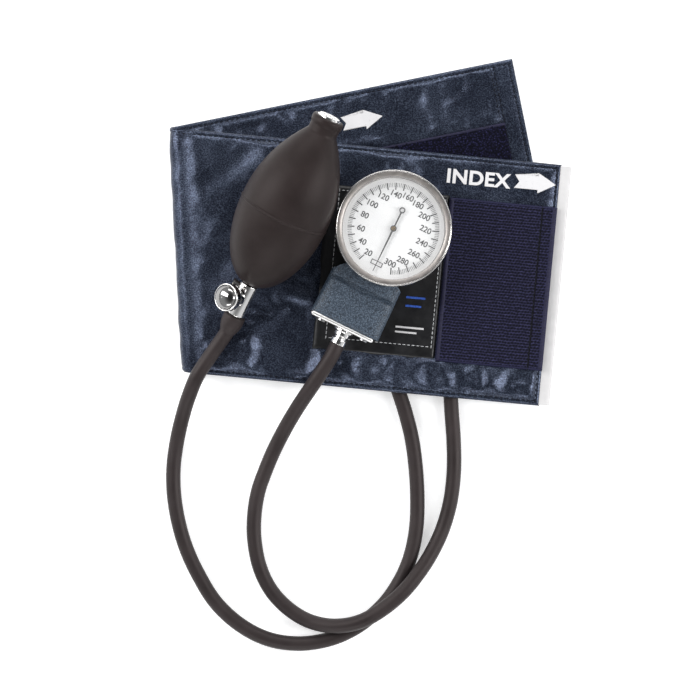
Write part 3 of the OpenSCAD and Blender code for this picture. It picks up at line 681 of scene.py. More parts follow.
class SlackPanel:
    """Heights of slack cloth that is sewn flat in places, simulated at ten times its size."""

    def __init__(self, name, length, sewn, slack, seed):
        self.low = PANEL_START
        self.nx = int((length - self.low) / SIM_STEP) + 2
        self.ny = int(CUFF_W / SIM_STEP) + 2
        self.step_x = (length - self.low) / (self.nx - 1)
        self.step_y = CUFF_W / (self.ny - 1)
        self.heights = [0.0] * (self.nx * self.ny)
        self.simulate(name, sewn, slack, seed)

    def simulate(self, name, sewn, slack, seed):
        """Lets the loose cloth grow by its slack between the sewn points, and keeps its heights."""
        verts, faces, pinned = [], [], []
        for i in range(self.nx):
            for j in range(self.ny):
                x, y = self.low + i * self.step_x, -CUFF_W / 2 + j * self.step_y
                a = i * self.ny + j
                if sewn(x, y):
                    pinned.append(a)
                start = 0 if sewn(x, y) else 0.3 + 0.5 * wave(x, y, 9, seed)
                verts.append((x * SIM_SCALE, y * SIM_SCALE, start * SIM_SCALE))
                if i < self.nx - 1 and j < self.ny - 1:
                    faces.append((a, a + self.ny, a + self.ny + 1, a + 1))
        mesh = bpy.data.meshes.new(name)
        mesh.from_pydata(verts, [], faces)
        obj = add_object(name, mesh)
        group = obj.vertex_groups.new(name="sewn")
        group.add(pinned, 1.0, "REPLACE")
        cloth = obj.modifiers.new("cloth", "CLOTH")
        for key, value in CLOTH.items():
            setattr(cloth.settings, key, value)
        cloth.settings.shrink_min = -slack
        cloth.settings.effector_weights.gravity = 0
        cloth.collision_settings.use_collision = False
        cloth.point_cache.frame_end = SIM_FRAMES
        for step in range(1, SIM_FRAMES + 1):
            bpy.context.scene.frame_set(step)
        done = obj.evaluated_get(bpy.context.evaluated_depsgraph_get()).data
        for k, vert in enumerate(done.vertices):
            height = vert.co.z / SIM_SCALE
            if height < 0:
                height = max(LOWEST_DIP, DIP_SHARE * height)
            self.heights[k] = min(HIGHEST_FOLD, height)
        bpy.data.objects.remove(obj)
        bpy.data.meshes.remove(mesh)
        bpy.context.scene.frame_set(1)

    def at(self, x, y):
        """Height at a point, between the simulation's own points."""
        u = min(max((x - self.low) / self.step_x, 0), self.nx - 1.001)
        v = min(max((y + CUFF_W / 2) / self.step_y, 0), self.ny - 1.001)
        i, j = int(u), int(v)
        u, v = u - i, v - j
        a, b = self.heights[i * self.ny + j], self.heights[i * self.ny + j + 1]
        c, d = self.heights[(i + 1) * self.ny + j], self.heights[(i + 1) * self.ny + j + 1]
        return (a * (1 - v) + b * v) * (1 - u) + (c * (1 - v) + d * v) * u


def edge_of(x, y, length):
    """Distance from a panel's nearest sewn edge."""
    return min(CUFF_W / 2 - abs(y), length - x)


def front_sewn(x, y):
    """Where the front panel's outer cloth is held: its hems, its patches and its start."""
    on_label = x > LABEL_X - 1 and abs(y - LABEL_Y) < LABEL_W / 2 + 1
    near_fold = x + y * LEAN < 5
    return edge_of(x, y, FRONT_LEN) < 3 or on_label or near_fold


def tail_sewn(x, y):
    """Where the tail's inner cloth is held: its hems, its loop tape and its start."""
    on_loop = x > LOOP_X - 1 and abs(y) < LOOP_W / 2 + 1
    near_fold = x - y * LEAN < 5
    in_hem = x > TAIL_LEN - TAIL_HEM_W - 2.5
    return edge_of(x, y, TAIL_LEN) < 3 or on_loop or near_fold or in_hem


HOOK_X = FRONT_LEN - 0.3 - HOOK_LEN
LABEL_X = HOOK_X - 0.3 - LABEL_LEN
LOOP_X = TAIL_LEN - TAIL_HEM_W - LOOP_LEN
FRONT_SLACK = SlackPanel("slack_front", FRONT_LEN, front_sewn, 0.045, 11)
TAIL_SLACK = SlackPanel("slack_tail", TAIL_LEN, tail_sewn, 0.05, 31)


def sag(x):
    """How far the front panel's free end droops at a distance along the panel."""
    return 1.2 * smooth((x - 112) / 52) ** 1.3


def edge_fall(d, depth):
    """How far a padded panel's face falls towards its sewn edge, d from the edge."""
    groove = 0.2 * math.exp(-(((d - HEM) / 0.45) ** 2))
    roll = depth * 0.55 * (1 - smooth(d / 1.0))
    return depth * 0.5 * (1 - smooth(d / 7)) + groove + roll


def puckers(x, y, seed):
    """Small gathers that the edge seams pull into the cloth."""
    total = 0
    for side in (-1, 1):
        d = CUFF_W / 2 - side * y
        pull = math.exp(-(((d - 5) / 8) ** 2))
        total += pull * (wave(x, d * 0.45 + 40 * side, 4.6, seed) + 0.6 * wave(x, d * 0.3, 9, seed + side))
    return total


def swells(x, y, seed):
    """Broad soft rises in the cloth."""
    return wave(x, y * 1.3, 26, seed) + 0.5 * wave(x + y, y - x, 14, seed + 3)


def front_top(x, y):
    """Height of the front panel's outer face."""
    d = max(0, edge_of(x, y, FRONT_LEN))
    ease = smooth((x + y * LEAN) / 16)
    under_patch = smooth((x - 52) / 6) * smooth((41 - abs(y + 1)) / 4)
    loose = ease * smooth(d / 5) * (1 - 0.95 * under_patch)
    lift = loose * (0.3 + 0.3 * swells(x, y, 11)) + ease * 0.3 * puckers(x, y, 5) * smooth(d / 2.5)
    by_index_print = smooth((x - FRONT_LEN + 60) / 6) * smooth((y - 36) / 3)
    calm = 1 - 0.8 * by_index_print
    slack = FRONT_SLACK.at(x, y) * (0.35 + 0.65 * smooth((x - 20) / 14) + 0.35 * smooth((-34 - y) / 5))
    roll = 1.1 * (1 - smooth((x + y * LEAN) / 8))
    return 2 * FOLD_R - edge_fall(d, 1.6) + calm * (lift + slack) - roll - sag(x)


def front_under(x, y):
    """Height of the front panel's inner face."""
    d = max(0, edge_of(x, y, FRONT_LEN))
    ease = smooth((x + y * LEAN) / 16)
    lift = ease * smooth(d / 5) * 0.35 * swells(x, y, 23)
    return max(FRONT_BASE - 0.95, FRONT_BASE + 0.4 + edge_fall(d, 1.4) + lift - sag(x))


def tail_top(x, y):
    """Height of the tail's inner face, which looks up."""
    d = max(0, edge_of(x, y, TAIL_LEN))
    ease = smooth((x - y * LEAN) / 16)
    over_loop = smooth((30 - abs(y)) / 4) * smooth((x - 28) / 6)
    lift = ease * smooth(d / 4) * (1 - 0.9 * over_loop) * (0.25 + 0.35 * swells(x, y, 31))
    lift += ease * 0.3 * puckers(x, y, 9) * smooth(d / 2.5) * (1 - over_loop)
    by_arrow_print = smooth((10 - abs(y - 40)) / 3) * smooth((17 - abs(x - 88)) / 5)
    calm = 1 - 0.8 * by_arrow_print
    lift = calm * (lift + TAIL_SLACK.at(x, y))
    seam = 0.35 * math.exp(-(((TAIL_LEN - TAIL_HEM_W + 0.8 - x) / 0.9) ** 2))
    return 2 * CLOTH_T + min(1.25, max(-0.3, lift)) - seam - edge_fall(d, 0.6)


def panel_points(place, lean, length, step, face, rows):
    """Columns of points of a flat panel, from just past the slanted fold to its end."""
    columns = []
    for x in graded(0, length, step, True, (False, True))[1:]:
        line = []
        for y in rows:
            start = y * lean
            along = start + (length - start) * x / length
            line.append(laid(place, along, y, face(along, y)))
        columns.append(line)
    return columns


def fold_points(face_front, face_tail, rows, steps=18):
    """Columns of points round the fold, from the tail's start to the front's."""
    columns = []
    for k in range(steps + 1):
        turn = math.pi * k / steps
        share = (1 - math.cos(turn)) / 2
        line = []
        for y in rows:
            across = y / math.cos(SKEW) + FOLD_DRIFT * (1 - turn / math.pi)
            below = FOLD_R - face_tail(y * LEAN, y)
            above = face_front(-y * LEAN, y) - FOLD_R
            ripple = wave(across, turn * 3, 7, 2) * math.sin(turn) * smooth((CUFF_W / 2 - abs(y)) / 3)
            r = below * (1 - share) + above * share + 0.35 * ripple
            line.append(laid(IN_FOLD, -math.sin(turn) * r, across, FOLD_R - math.cos(turn) * r))
        columns.append(line)
    return columns


def strip_points(face_front, face_tail, rows):
    """Columns of points of one cloth face, from the tail's end round the fold to the front's end."""
    tail = panel_points(IN_TAIL, LEAN, TAIL_LEN, 1.9, face_tail, rows)
    front = panel_points(IN_FRONT, -LEAN, FRONT_LEN, 1.7, face_front, rows)
    return tail[::-1] + fold_points(face_front, face_tail, rows) + front


def strip_uv(obj, columns, rows):
    """Lays the strip's own length and width, in metres, over its faces as UVs."""
    mesh = obj.data
    half = columns * rows
    layer = mesh.uv_layers.new(name="strip")
    along = [0.0] * columns
    middle = rows // 2
    for i in range(1, columns):
        a, b = (mesh.vertices[k * rows + middle].co for k in (i - 1, i))
        along[i] = along[i - 1] + (b - a).length
    for loop in mesh.loops:
        i, j = divmod(loop.vertex_index % half, rows)
        across = (mesh.vertices[i * rows + j].co - mesh.vertices[i * rows].co).length
        layer.data[loop.index].uv = (along[i], across)


def add_strip_layer(name, outer, inner, nodes, slot):
    """One layer of the cuff's cloth, which bends at the fold between front and tail."""
    rows = graded(-CUFF_W / 2, CUFF_W / 2, 1.5, True)
    outside = strip_points(*outer, rows)
    verts, faces = closed_sheet(outside, strip_points(*inner, rows))
    obj = make(name, verts, faces, NYLON, None, slot)
    strip_uv(obj, len(outside), len(rows))
    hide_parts(*nodes)
    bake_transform(obj)
    return obj


def floor_face(x, y):
    """Height of the tail's outer face, which lies on the table."""
    d = max(0, edge_of(x, y, TAIL_LEN))
    groove = 0.3 * math.exp(-(((d - HEM) / 0.5) ** 2))
    loose = max(0, 0.14 + 0.14 * swells(x, y, 41) + 0.1 * puckers(x, y, 43))
    return 0.35 * (1 - smooth(d / 1.2)) + groove + loose * smooth(d / 4)


def front_middle(x, y):
    return (front_top(x, y) + front_under(x, y)) / 2


BLADDER_X = (12, 148)
BLADDER_HALF = 39
COVER_T = 0.7


def pocket(x, y):
    """1 where the bladder keeps the front panel's two cloths apart, 0 away from it."""
    d = min(x - BLADDER_X[0], BLADDER_X[1] - x, BLADDER_HALF - abs(y))
    return smooth((d + 1) / 4)


def above_bladder(x, y):
    high, middle = front_top(x, y) - COVER_T, front_middle(x, y) + 0.02
    return middle + (high - middle) * pocket(x, y)


def below_bladder(x, y):
    low, middle = front_under(x, y) + COVER_T, front_middle(x, y) - 0.02
    return middle + (low - middle) * pocket(x, y)


def rubber_bladder():
    """The flat rubber bag between the front panel's two cloths."""
    xs = graded(BLADDER_X[0], BLADDER_X[1], 2.2, True)
    ys = graded(-BLADDER_HALF, BLADDER_HALF, 2.2, True)
    obj = slab(
        "bladder_bag", xs, ys,
        lambda x, y: above_bladder(x, y) - 0.06, lambda x, y: below_bladder(x, y) + 0.06,
        TUBE_RUBBER, "cuff", "rubber_black", IN_FRONT, "bladder",
    )


outer = add_strip_layer(
    "outer_cloth",
    (front_top, floor_face),
    (above_bladder, lambda x, y: CLOTH_T),
    ["front_outer_cover", "tail_outer_cover", "fold_web"],
    "nylon_navy",
)
inner = add_strip_layer(
    "inner_cloth",
    (below_bladder, lambda x, y: CLOTH_T + 0.02),
    (front_under, tail_top),
    ["front_inner_cover", "tail_inner_cover", "tail_end_hem"],
    "nylon_navy",
)
rubber_bladder()


def line_on(place, points, top, lift=0.0, steps=None):
    """Follows (x, y) corners over a face, as world points at a lift above it."""
    path = []
    for (x0, y0), (x1, y1) in zip(points, points[1:]):
        count = steps or max(2, int(math.hypot(x1 - x0, y1 - y0) / 2))
        for k in range(count + 1):
            x, y = x0 + (x1 - x0) * k / count, y0 + (y1 - y0) * k / count
            path.append(laid(place, x, y, top(x, y) + lift))
    return path


def hem_stitching():
    """Dark lock stitches 2 mm inside each free edge, and below the tail's long edges."""
    inset = CUFF_W / 2 - HEM
    front_end, tail_end = FRONT_LEN - HEM, TAIL_LEN - HEM
    seam = TAIL_LEN - TAIL_HEM_W
    rows = []
    for y, tag in ((-inset, "near"), (inset, "far")):
        on_tail = (2 + y * LEAN, y), (tail_end, y)
        rows += [
            ("front_hem_%s" % tag, "cuff", front_top, (2 - y * LEAN, y), (front_end, y)),
            ("tail_hem_%s" % tag, "tail", tail_top, *on_tail),
            ("tail_under_%s" % tag, "tail", floor_face, *on_tail),
        ]
    rows += [
        ("front_end_hem", "cuff", front_top, (front_end, -inset), (front_end, inset)),
        ("tail_end_stitch", "tail", tail_top, (tail_end, -inset), (tail_end, inset)),
        ("tail_seam_outer", "tail", tail_top, (seam, -inset), (seam, inset)),
        ("tail_seam_inner", "tail", tail_top, (seam - 1.6, -inset), (seam - 1.6, inset)),
    ]
    for name, body, face, start, end in rows:
        place = IN_FRONT if body == "cuff" else IN_TAIL
        lift, up = (-0.02, -UP) if face == floor_face else (0.1, UP)
        path = line_on(place, [start, end], face, lift, 60 if start[0] == end[0] else 80)
        stitches(name, path, NAVY_THREAD, body, 1.7, 0.7, 0.2, up)


hem_stitching()

# ---- patches


def patch(name, corner, size, base, place, material, body, slot, node, step, relief=None):
    """A sewn-on patch: a slab with soft edges and, if asked, a raised pattern in its face. The pattern also gives
    each point a colour factor, kept on the mesh, which the hook tape's material uses for painted shade and painted
    highlight.
    """
    x0, y0 = corner
    length, width, thick = size
    xs = graded(0, length, step, False)
    ys = graded(-width / 2, width / 2, step, False)
    edge = 0.7
    top, low, relief_shades = [], [], []
    for x in xs:
        line_top, line_low = [], []
        for y in ys:
            d = min(x, length - x, y + width / 2, width / 2 - y)
            z = base(x0 + x, y0 + y)
            pattern = relief(x, y, d) if relief else (0, 0)
            fall = thick * 0.7 * (1 - math.sqrt(1 - (1 - min(1, d / edge)) ** 2))
            line_top.append((x0 + x, y0 + y, z + thick - fall + pattern[0]))
            line_low.append((x0 + x, y0 + y, z + 0.02))
            relief_shades.append(pattern[1])
        top.append(line_top)
        low.append(line_low)
    obj = make(name, *closed_sheet(top, low), material, body, slot, place, node)
    # Colour factor for the painted shade and highlight in the hook tape's relief.
    layer = obj.data.attributes.new("relief_shade", "FLOAT", "POINT")
    layer.data.foreach_set("value", relief_shades + [0.0] * len(relief_shades))


def patch_base(x, y):
    """Where the front panel's patches sit."""
    return 2 * FOLD_R - 0.05 - sag(x) + 0.12 * wave(x, y, 18, 4)


HOOK_LINE = 6.7


def hook_relief(x, y, d):
    """Open net of raised threads in rows, with plain edges and one sewn line. Its colour factor paints shade into
    the holes and the sewn groove and paints a highlight on the thread tops, varied at random.
    """
    pitch_x, pitch_y = 1.36, 1.3
    if x < 2 or HOOK_LEN - x < 2.2 or d < 1:
        return 0.0, 0.62
    if abs(x - (HOOK_LEN - HOOK_LINE)) < 0.35:
        return -0.25, 0.1
    jitter = 0.25 * wave(x, y, 3, 8)
    row = math.sin(math.pi * (y / pitch_y + jitter)) ** 2
    link = math.sin(math.pi * (x / pitch_x + 0.5 * math.floor(y / pitch_y) + jitter)) ** 2
    net = 1 - row ** 0.7 * (0.35 + 0.65 * link)
    fray = 0.5 + 0.5 * wave(x, y, 0.9, 15)
    return 0.34 * net - 0.3, net * (0.45 + 0.55 * fray)


def loop_relief(x, y, d):
    """Matted loops."""
    fuzz = wave(x, y, 0.8, 21) + 0.6 * wave(x, y, 2.4, 22)
    return 0.22 * fuzz * smooth(d / 1.2), 0.5


patch("hook_tape", (HOOK_X, HOOK_Y), (HOOK_LEN, HOOK_W, HOOK_T), patch_base, IN_FRONT, HOOK, "cuff",
      "hook_tape", "hook_patch", 0.34, hook_relief)
patch("label", (LABEL_X, LABEL_Y), (LABEL_LEN, LABEL_W, LABEL_T), patch_base, IN_FRONT, LABEL, "cuff",
      "label_black", "label_patch", 1.2)
patch("loop_tape", (LOOP_X, 0), (LOOP_LEN, LOOP_W, LOOP_T), lambda x, y: 2 * CLOTH_T, IN_TAIL, LOOP,
      "tail", "loop_tape", "loop_patch", 0.6, loop_relief)


def label_top(x, y):
    return patch_base(x, y) + LABEL_T + 0.03


def label_details():
    """White stitches round the label, and plain rules in place of its words."""
    inset = 5.6
    x0, x1 = LABEL_X + inset, LABEL_X + LABEL_LEN - inset * 0.35
    y0, y1 = LABEL_Y - LABEL_W / 2 + inset, LABEL_Y + LABEL_W / 2 - inset * 0.4
    corners = [(x0, y1), (x0, y0), (x1, y0), (x1, y1), (x0, y1)]
    stitches("label_stitching", line_on(IN_FRONT, corners, label_top), WHITE_THREAD, "cuff", 1.5, 0.55, 0.17)
    rules = [(39.5, 8.5, -11.8, 0.9), (39.5, 7, -15.6, 0.9), (36, 12.5, -25.2, 0.8), (36, 9.5, -27.4, 0.8)]
    for i, (along, length, across, high) in enumerate(rules):
        x = LABEL_X + along
        flat_shapes("label_rule_%d" % i, [oblong(x, across, x + length, across + high)], IN_FRONT,
                    label_top, 0.03, BLUE if i < 2 else PRINT, "label_black")


def selvedge_band(name, profile, start, end, steps, height, body, slot, place):
    """A tape's woven edge: a low band between two points, its profile in (offset, height) points."""
    (x0, y0), (x1, y1) = start, end
    lengthwise = y0 == y1
    verts = []
    for k in range(steps + 1):
        x, y = x0 + (x1 - x0) * k / steps, y0 + (y1 - y0) * k / steps
        z = height(x, y)
        if lengthwise:
            verts += [(x, y + offset, z + rise) for offset, rise in profile]
        else:
            verts += [(x + offset, y, z + rise) for offset, rise in profile]
    faces = skin(steps + 1, len(profile))
    if lengthwise:
        faces = [face[::-1] for face in faces]
    make(name, verts, faces, SELVEDGE, body, slot, place)


def hook_top(x, y):
    return patch_base(x, y) + HOOK_T - 0.05


def tape_details():
    """Woven edge bands of both tapes and the line that sews the hook tape down."""
    half = HOOK_W / 2 - 0.4
    profile = [(-0.8, -0.2), (-0.6, 0.16), (0.6, 0.16), (0.8, -0.2)]
    for x, tag in ((HOOK_X + 1.1, "left"), (HOOK_X + HOOK_LEN - 1.3, "right")):
        selvedge_band("hook_selvedge_%s" % tag, profile, (x, HOOK_Y - half), (x, HOOK_Y + half), 40,
                      hook_top, "cuff", "hook_tape", IN_FRONT)
    x = HOOK_X + HOOK_LEN - HOOK_LINE
    path = line_on(IN_FRONT, [(x, HOOK_Y - half), (x, HOOK_Y + half)], hook_top, -0.25)
    stitches("hook_stitching", path, NAVY_THREAD, "cuff", 1.8, 0.6, 0.22)
    profile = [(-0.7, -0.5), (-0.45, 0.05), (0.45, 0.05), (0.7, -0.5)]
    edge = LOOP_W / 2 - 0.7
    for y, tag in ((-edge, "near"), (edge, "far")):
        selvedge_band("loop_selvedge_%s" % tag, profile, (LOOP_X, y), (LOOP_X + LOOP_LEN, y), 60,
                      lambda x, y: 2 * CLOTH_T + LOOP_T, "tail", "loop_tape", IN_TAIL)


label_details()
tape_details()


def index_piece():
    """The stiff white strip that shows past the front panel's end."""
    inside, half_t = 6, 0.4
    xs = [FRONT_LEN - inside + k * (INDEX_OUT + inside) / 12 for k in range(13)]
    ys = graded(-CUFF_W / 2 + 0.5, CUFF_W / 2 - 0.5, 2, True)
    flat = front_middle(FRONT_LEN, 0) + sag(FRONT_LEN)

    def middle(x, y):
        return flat - sag(x) + 0.12 * wave(x, y, 22, 6)

    def past(x):
        return max(0, x - (FRONT_LEN + INDEX_OUT - 0.5))

    slab(
        "index_edge", xs, ys,
        lambda x, y: middle(x, y) + half_t - 0.5 * past(x),
        lambda x, y: middle(x, y) - half_t + 0.4 * past(x),
        STRIP, "cuff", "strip_white", IN_FRONT, "index_strip",
    )


index_piece()


def arrow(x0, x1, y, shaft, head, head_len, notch):
    """Outline of a block arrow that points along +X."""
    neck = x1 - head_len
    return [
        (x0, y - shaft / 2), (neck, y - shaft / 2), (neck, y - head / 2), (x1, y),
        (neck, y + head / 2), (neck, y + shaft / 2), (x0, y + shaft / 2), (x0 + notch, y),
    ]


def printed(name, outline, place, top, body):
    """A printed shape draped on the cloth: a fine grid cut to the outline."""
    step = 0.45
    bm = bmesh.new()
    face = bm.faces.new([bm.verts.new((x, y, 0)) for x, y in outline])
    bmesh.ops.triangulate(bm, faces=[face])
    for axis in (0, 1):
        low, high = min(p[axis] for p in outline), max(p[axis] for p in outline)
        for k in range(1, int((high - low) / step) + 1):
            at, normal = [0, 0, 0], [0, 0, 0]
            at[axis] = low + k * step
            normal[axis] = 1
            bmesh.ops.bisect_plane(bm, geom=bm.verts[:] + bm.edges[:] + bm.faces[:],
                                   plane_co=at, plane_no=normal)
    bmesh.ops.dissolve_degenerate(bm, dist=1e-4, edges=bm.edges)
    extra = bmesh.ops.extrude_face_region(bm, geom=bm.faces[:])
    raised = {v for v in extra["geom"] if isinstance(v, bmesh.types.BMVert)}
    for v in bm.verts:
        v.co.z = top(v.co.x, v.co.y) + (0.2 if v in raised else 0.05)
    bmesh.ops.recalc_face_normals(bm, faces=bm.faces)
    for v in bm.verts:
        v.co = (place @ v.co) * MM
    mesh = bpy.data.meshes.new(name)
    bm.to_mesh(mesh)
    bm.free()
    mesh.polygons.foreach_set("use_smooth", [True] * len(mesh.polygons))
    finish_piece(name, mesh, PRINT, body)


def drape(obj, place, top, lift):
    """Lays a flat piece on the cloth, keeping its own thickness."""
    back = place.inverted()
    for v in obj.data.vertices:
        local = back @ (v.co / MM)
        v.co = (place @ Vector((local.x, local.y, local.z + top(local.x, local.y) + lift))) * MM


def markings():
    """The index word and arrow on the front panel, and the arrow on the tail."""
    outline = arrow(FRONT_LEN - 20.5, FRONT_LEN - 1.9, 44.6, 6, 9, 8, 2.2)
    printed("index_arrow", outline, IN_FRONT, front_top, "cuff")
    word = lettering("index_word", "INDEX", 6.4, IN_FRONT @ Matrix.Translation((FRONT_LEN - 36.3, 44.2, 0)),
                     PRINT, "cuff", 0.032, 0.14, 1.06, 1.06)
    drape(word, IN_FRONT, front_top, 0.08)
    printed("tail_arrow", arrow(79.2, 97.8, 40.2, 6.1, 8.9, 8.1, 1.9), IN_TAIL, tail_top, "tail")


markings()

# ---- gauge


def gauge_bezel():
    """Polished bezel with a wide satin lip inside it, and a white ring round the dial."""
    z = GAUGE_BASE_Z
    rim = [
        (23.75, z + 14.5), (25.0, z + 14.5), (25.4, z + 15.2), (25.4, z + 21.4), (25.25, z + 22.2),
        (24.95, z + 22.6), (24.6, z + 22.55), (24.45, z + 22.3), (24.4, z + 21.95), (23.75, z + 21.95),
    ]
    turned("bezel", rim, 0.3, 160, BEZEL, "chrome", IN_GAUGE, "bezel_ring")
    lip = [(24.38, z + 22.36), (23.4, z + 22.2), (22.6, z + 22.0), (22.5, z + 21.87), (24.36, z + 21.87)]
    turned("bezel_lip", lip, 0.08, 160, SATIN, "chrome", IN_GAUGE)
    wall = [(22.45, z + 17.12), (22.6, z + 17.12), (22.75, z + 20.15), (22.45, z + 20.15)]
    turned("dial_surround", wall, 0.08, 160, ENAMEL, "dial_white", IN_GAUGE)


def dial_face(x, y):
    return DIAL_TOP - 0.02


def dial_marks():
    """Scale ticks: long ones every 10 units from 20 to 300, fine ones every 2."""
    per_unit = math.radians(1.125)
    outer, inner_long, inner_fine = 20.0, 17.0, 18.1
    long_ticks, fine_ticks = [], []
    for value in range(20, 301, 2):
        a = -math.pi / 2 - value * per_unit
        is_long = value % 10 == 0
        inner = inner_long if is_long else inner_fine
        half = 0.24 if is_long else 0.08
        along = Vector((math.cos(a), math.sin(a)))
        side = Vector((-along.y, along.x)) * half
        outline = [along * inner - side, along * outer - side, along * outer + side, along * inner + side]
        (long_ticks if is_long else fine_ticks).append([tuple(p) for p in outline])
    for name, shapes in (("long_ticks", long_ticks), ("fine_ticks", fine_ticks)):
        flat_shapes(name, shapes, IN_GAUGE, dial_face, DIAL_INK_T, INK, "pointer_black")
    for value in range(20, 301, 20):
        a = -math.pi / 2 - value * per_unit
        spot = (13.8 * math.cos(a), 15.2 * math.sin(a), dial_face(0, 0))
        lettering("dial_%d" % value, str(value), 2.6, IN_GAUGE @ Matrix.Translation(spot), INK, "cuff",
                  0.014, DIAL_INK_T)
    box = oblong(-2.5, -17.6, 2.5, -15.8)
    line = 0.16
    sides = []
    for (x0, y0), (x1, y1) in zip(box, box[1:] + box[:1]):
        sides.append(oblong(min(x0, x1) - line, min(y0, y1) - line, max(x0, x1) + line, max(y0, y1) + line))
    flat_shapes("zero_box", sides, IN_GAUGE, dial_face, DIAL_INK_T, INK, "pointer_black")


def holder_top(x):
    """Where the sleeve ends beside the case: under the bezel, with sloping shoulders."""
    beside = -math.sqrt(24.6 ** 2 - min(14, abs(x)) ** 2)
    drop = 6.4 * smooth((-x - 10.5) / 6.5) + 3.2 * smooth((x - 11.5) / 4)
    return beside - drop


def gauge_holder():
    """Leatherette sleeve round the gauge's neck, creased near the case."""
    base = GAUGE_BASE_Z
    half_w, shift, crease_y = 16.25, -0.75, -29.8
    verts = []
    rings, around = 90, 48
    top, low = base + 14.3, base
    mid, tall = (top + low) / 2, (top - low) / 2
    for i in range(rings):
        t = i / (rings - 1)
        for k in range(around):
            a = 2 * math.pi * k / around
            c, s = math.cos(a), math.sin(a)
            x = math.copysign(abs(c) ** 0.32, c) * (half_w - 0.4 * (1 - t)) + shift
            z = math.copysign(abs(s) ** 0.42, s) * tall
            start = holder_top(x)
            y = start + (NECK_END - start) * t
            if s > 0:
                groove = 2.2 * math.exp(-(((y - crease_y) / 0.55) ** 2))
                step = 0.9 * smooth((y - crease_y) / 0.6) - 0.5 * smooth((crease_y - y) / 2) * (1 - t)
                z -= (groove + step + 0.5 * smooth((t - 0.94) / 0.06)) * s
            swell = 0.35 * wave(x, y, 9, 12) * (1 if s > 0 else 0.2)
            verts.append((x + 0.2 * wave(y, z, 6, 3), y, mid + z + swell))
    faces = [face[::-1] for face in skin(rings, around)]
    make("gauge_holder", verts, faces, STRAP, "cuff", "strap_blue", IN_GAUGE, "gauge_strap")
    xs = [-12 + k for k in range(25)]
    ys = [-25 + 1.28 * k for k in range(26)]
    slab("gauge_tongue", xs, ys, lambda x, y: base - 0.06, lambda x, y: base - 0.95,
         STRAP, "cuff", "strap_blue", IN_GAUGE)


def bevelled_box(name, low, high, bevel, material, slot, node):
    """A box with rounded edges in the gauge's frame, in the place of a CAD node."""
    bm = bmesh.new()
    bmesh.ops.create_cube(bm, size=1)
    for vert in bm.verts:
        for axis in range(3):
            vert.co[axis] = high[axis] if vert.co[axis] > 0 else low[axis]
    bmesh.ops.bevel(bm, geom=bm.edges[:], offset=bevel, segments=5, profile=0.5, affect="EDGES")
    verts = [tuple(v.co) for v in bm.verts]
    faces = [tuple(v.index for v in f.verts) for f in bm.faces]
    bm.free()
    make(name, verts, faces, material, "cuff", slot, IN_GAUGE, node)


def gauge_fittings():
    """The neck inside the sleeve, its polished end plate and the turned stub for the tube."""
    base = GAUGE_BASE_Z
    bevelled_box("neck_core", (-11.4, NECK_END + 0.4, base + 1), (11.4, -24.5, base + 10.8), 0.8,
                 STEEL, "steel", "gauge_neck")
    bevelled_box("neck_plate", (-16.4, NECK_END - 1.95, base + 0.6), (13.5, NECK_END - 0.02, base + 13.6),
                 0.95, PLATE, "chrome", "end_plate")
    start = -NECK_END + 2
    end = -NIPPLE_END
    profile = [
        (0.9, start - 0.1), (2.2, start - 0.1), (4.4, start + 0.05), (4.4, start + 1), (3.5, start + 1.3),
        (3.5, start + 3), (2.8, start + 3.3), (2.8, start + 4.2), (3.4, start + 4.5), (3.4, end),
        (BARB_R, end + 0.02), (BARB_R, end + 7), (0.9, end + 7),
    ]
    turned("tube_stub", profile, 0.22, 64, CHROME, "chrome", IN_STUB, "port_nipple")


gauge_bezel()
dial_marks()
gauge_holder()
gauge_fittings()

# ---- bulb and valve


def bulb_radius(s):
    """Radius at a distance from the bulb's valve end: half an ellipse, then a taper to the neck."""
    if s < BULB_WAIST:
        return BULB_R * math.sqrt(max(0, 1 - ((BULB_WAIST - s) / BULB_WAIST) ** 2))
    t = min(1, (s - BULB_WAIST) / (BULB_LEN - 6 - BULB_WAIST))
    return NECK_R + (BULB_R - NECK_R) * (1 - t ** 2.2)


def bulb_body():
    """The rubber bulb, with its mould line round the waist and a beaded neck."""
    outside = []
    start = BULB_WAIST * (1 - math.sqrt(1 - (3.25 / BULB_R) ** 2))
    end = BULB_LEN - 3
    ends = [start + (end - start) * (1 - math.cos(math.pi * k / 70)) / 2 for k in range(71)]
    waist = [BULB_WAIST - 1.2 + 0.15 * k for k in range(20)]
    for s in sorted(ends + waist):
        ridge = 0.3 * math.exp(-(((s - BULB_WAIST) / 0.3) ** 2))
        groove = 0.16 * math.exp(-(((s - BULB_WAIST - 0.75) / 0.3) ** 2))
        seam = ridge - groove
        outside.append((bulb_radius(s) + seam, s))
    lip = [(NECK_R, BULB_LEN - 3), (NECK_R + 0.45, BULB_LEN - 2.2), (NECK_R + 0.5, BULB_LEN - 0.1),
           (NECK_R + 0.1, BULB_LEN + 0.7), (5.2, BULB_LEN + 0.85), (4.5, BULB_LEN + 0.55), (4.35, BULB_LEN)]
    inside = [(4.35, BULB_LEN - 9), (4.6, BULB_LEN - 11)]
    for k in range(20, -1, -1):
        s = 4 + (BULB_LEN - 14) * k / 20
        inside.append((max(3.4, bulb_radius(s) - 2.2), s))
    inside.append((3.25, 2.5))
    turned("bulb", outside[:-1] + lip + inside, 0, 128, BULB_RUBBER, "rubber_black", IN_BULB, "bulb_shell")


def tube_boot():
    """Stretched end of the bulb's tube on the valve."""
    end = BARREL_END
    inner = TUBE_D / 2 + 0.06
    profile = [
        (inner, end - 0.05), (4.5, end - 0.05), (4.9, end - 0.5), (4.95, end - 2.5), (4.8, end - 4.8),
        (4.3, end - 6.6), (3.75, end - 7.8), (inner + 0.12, end - 8.6), (inner, end - 8.6),
    ]
    turned("valve_boot", profile, 0.5, 64, TUBE_RUBBER, "rubber_black", IN_BULB, "bulb_tube_boot")


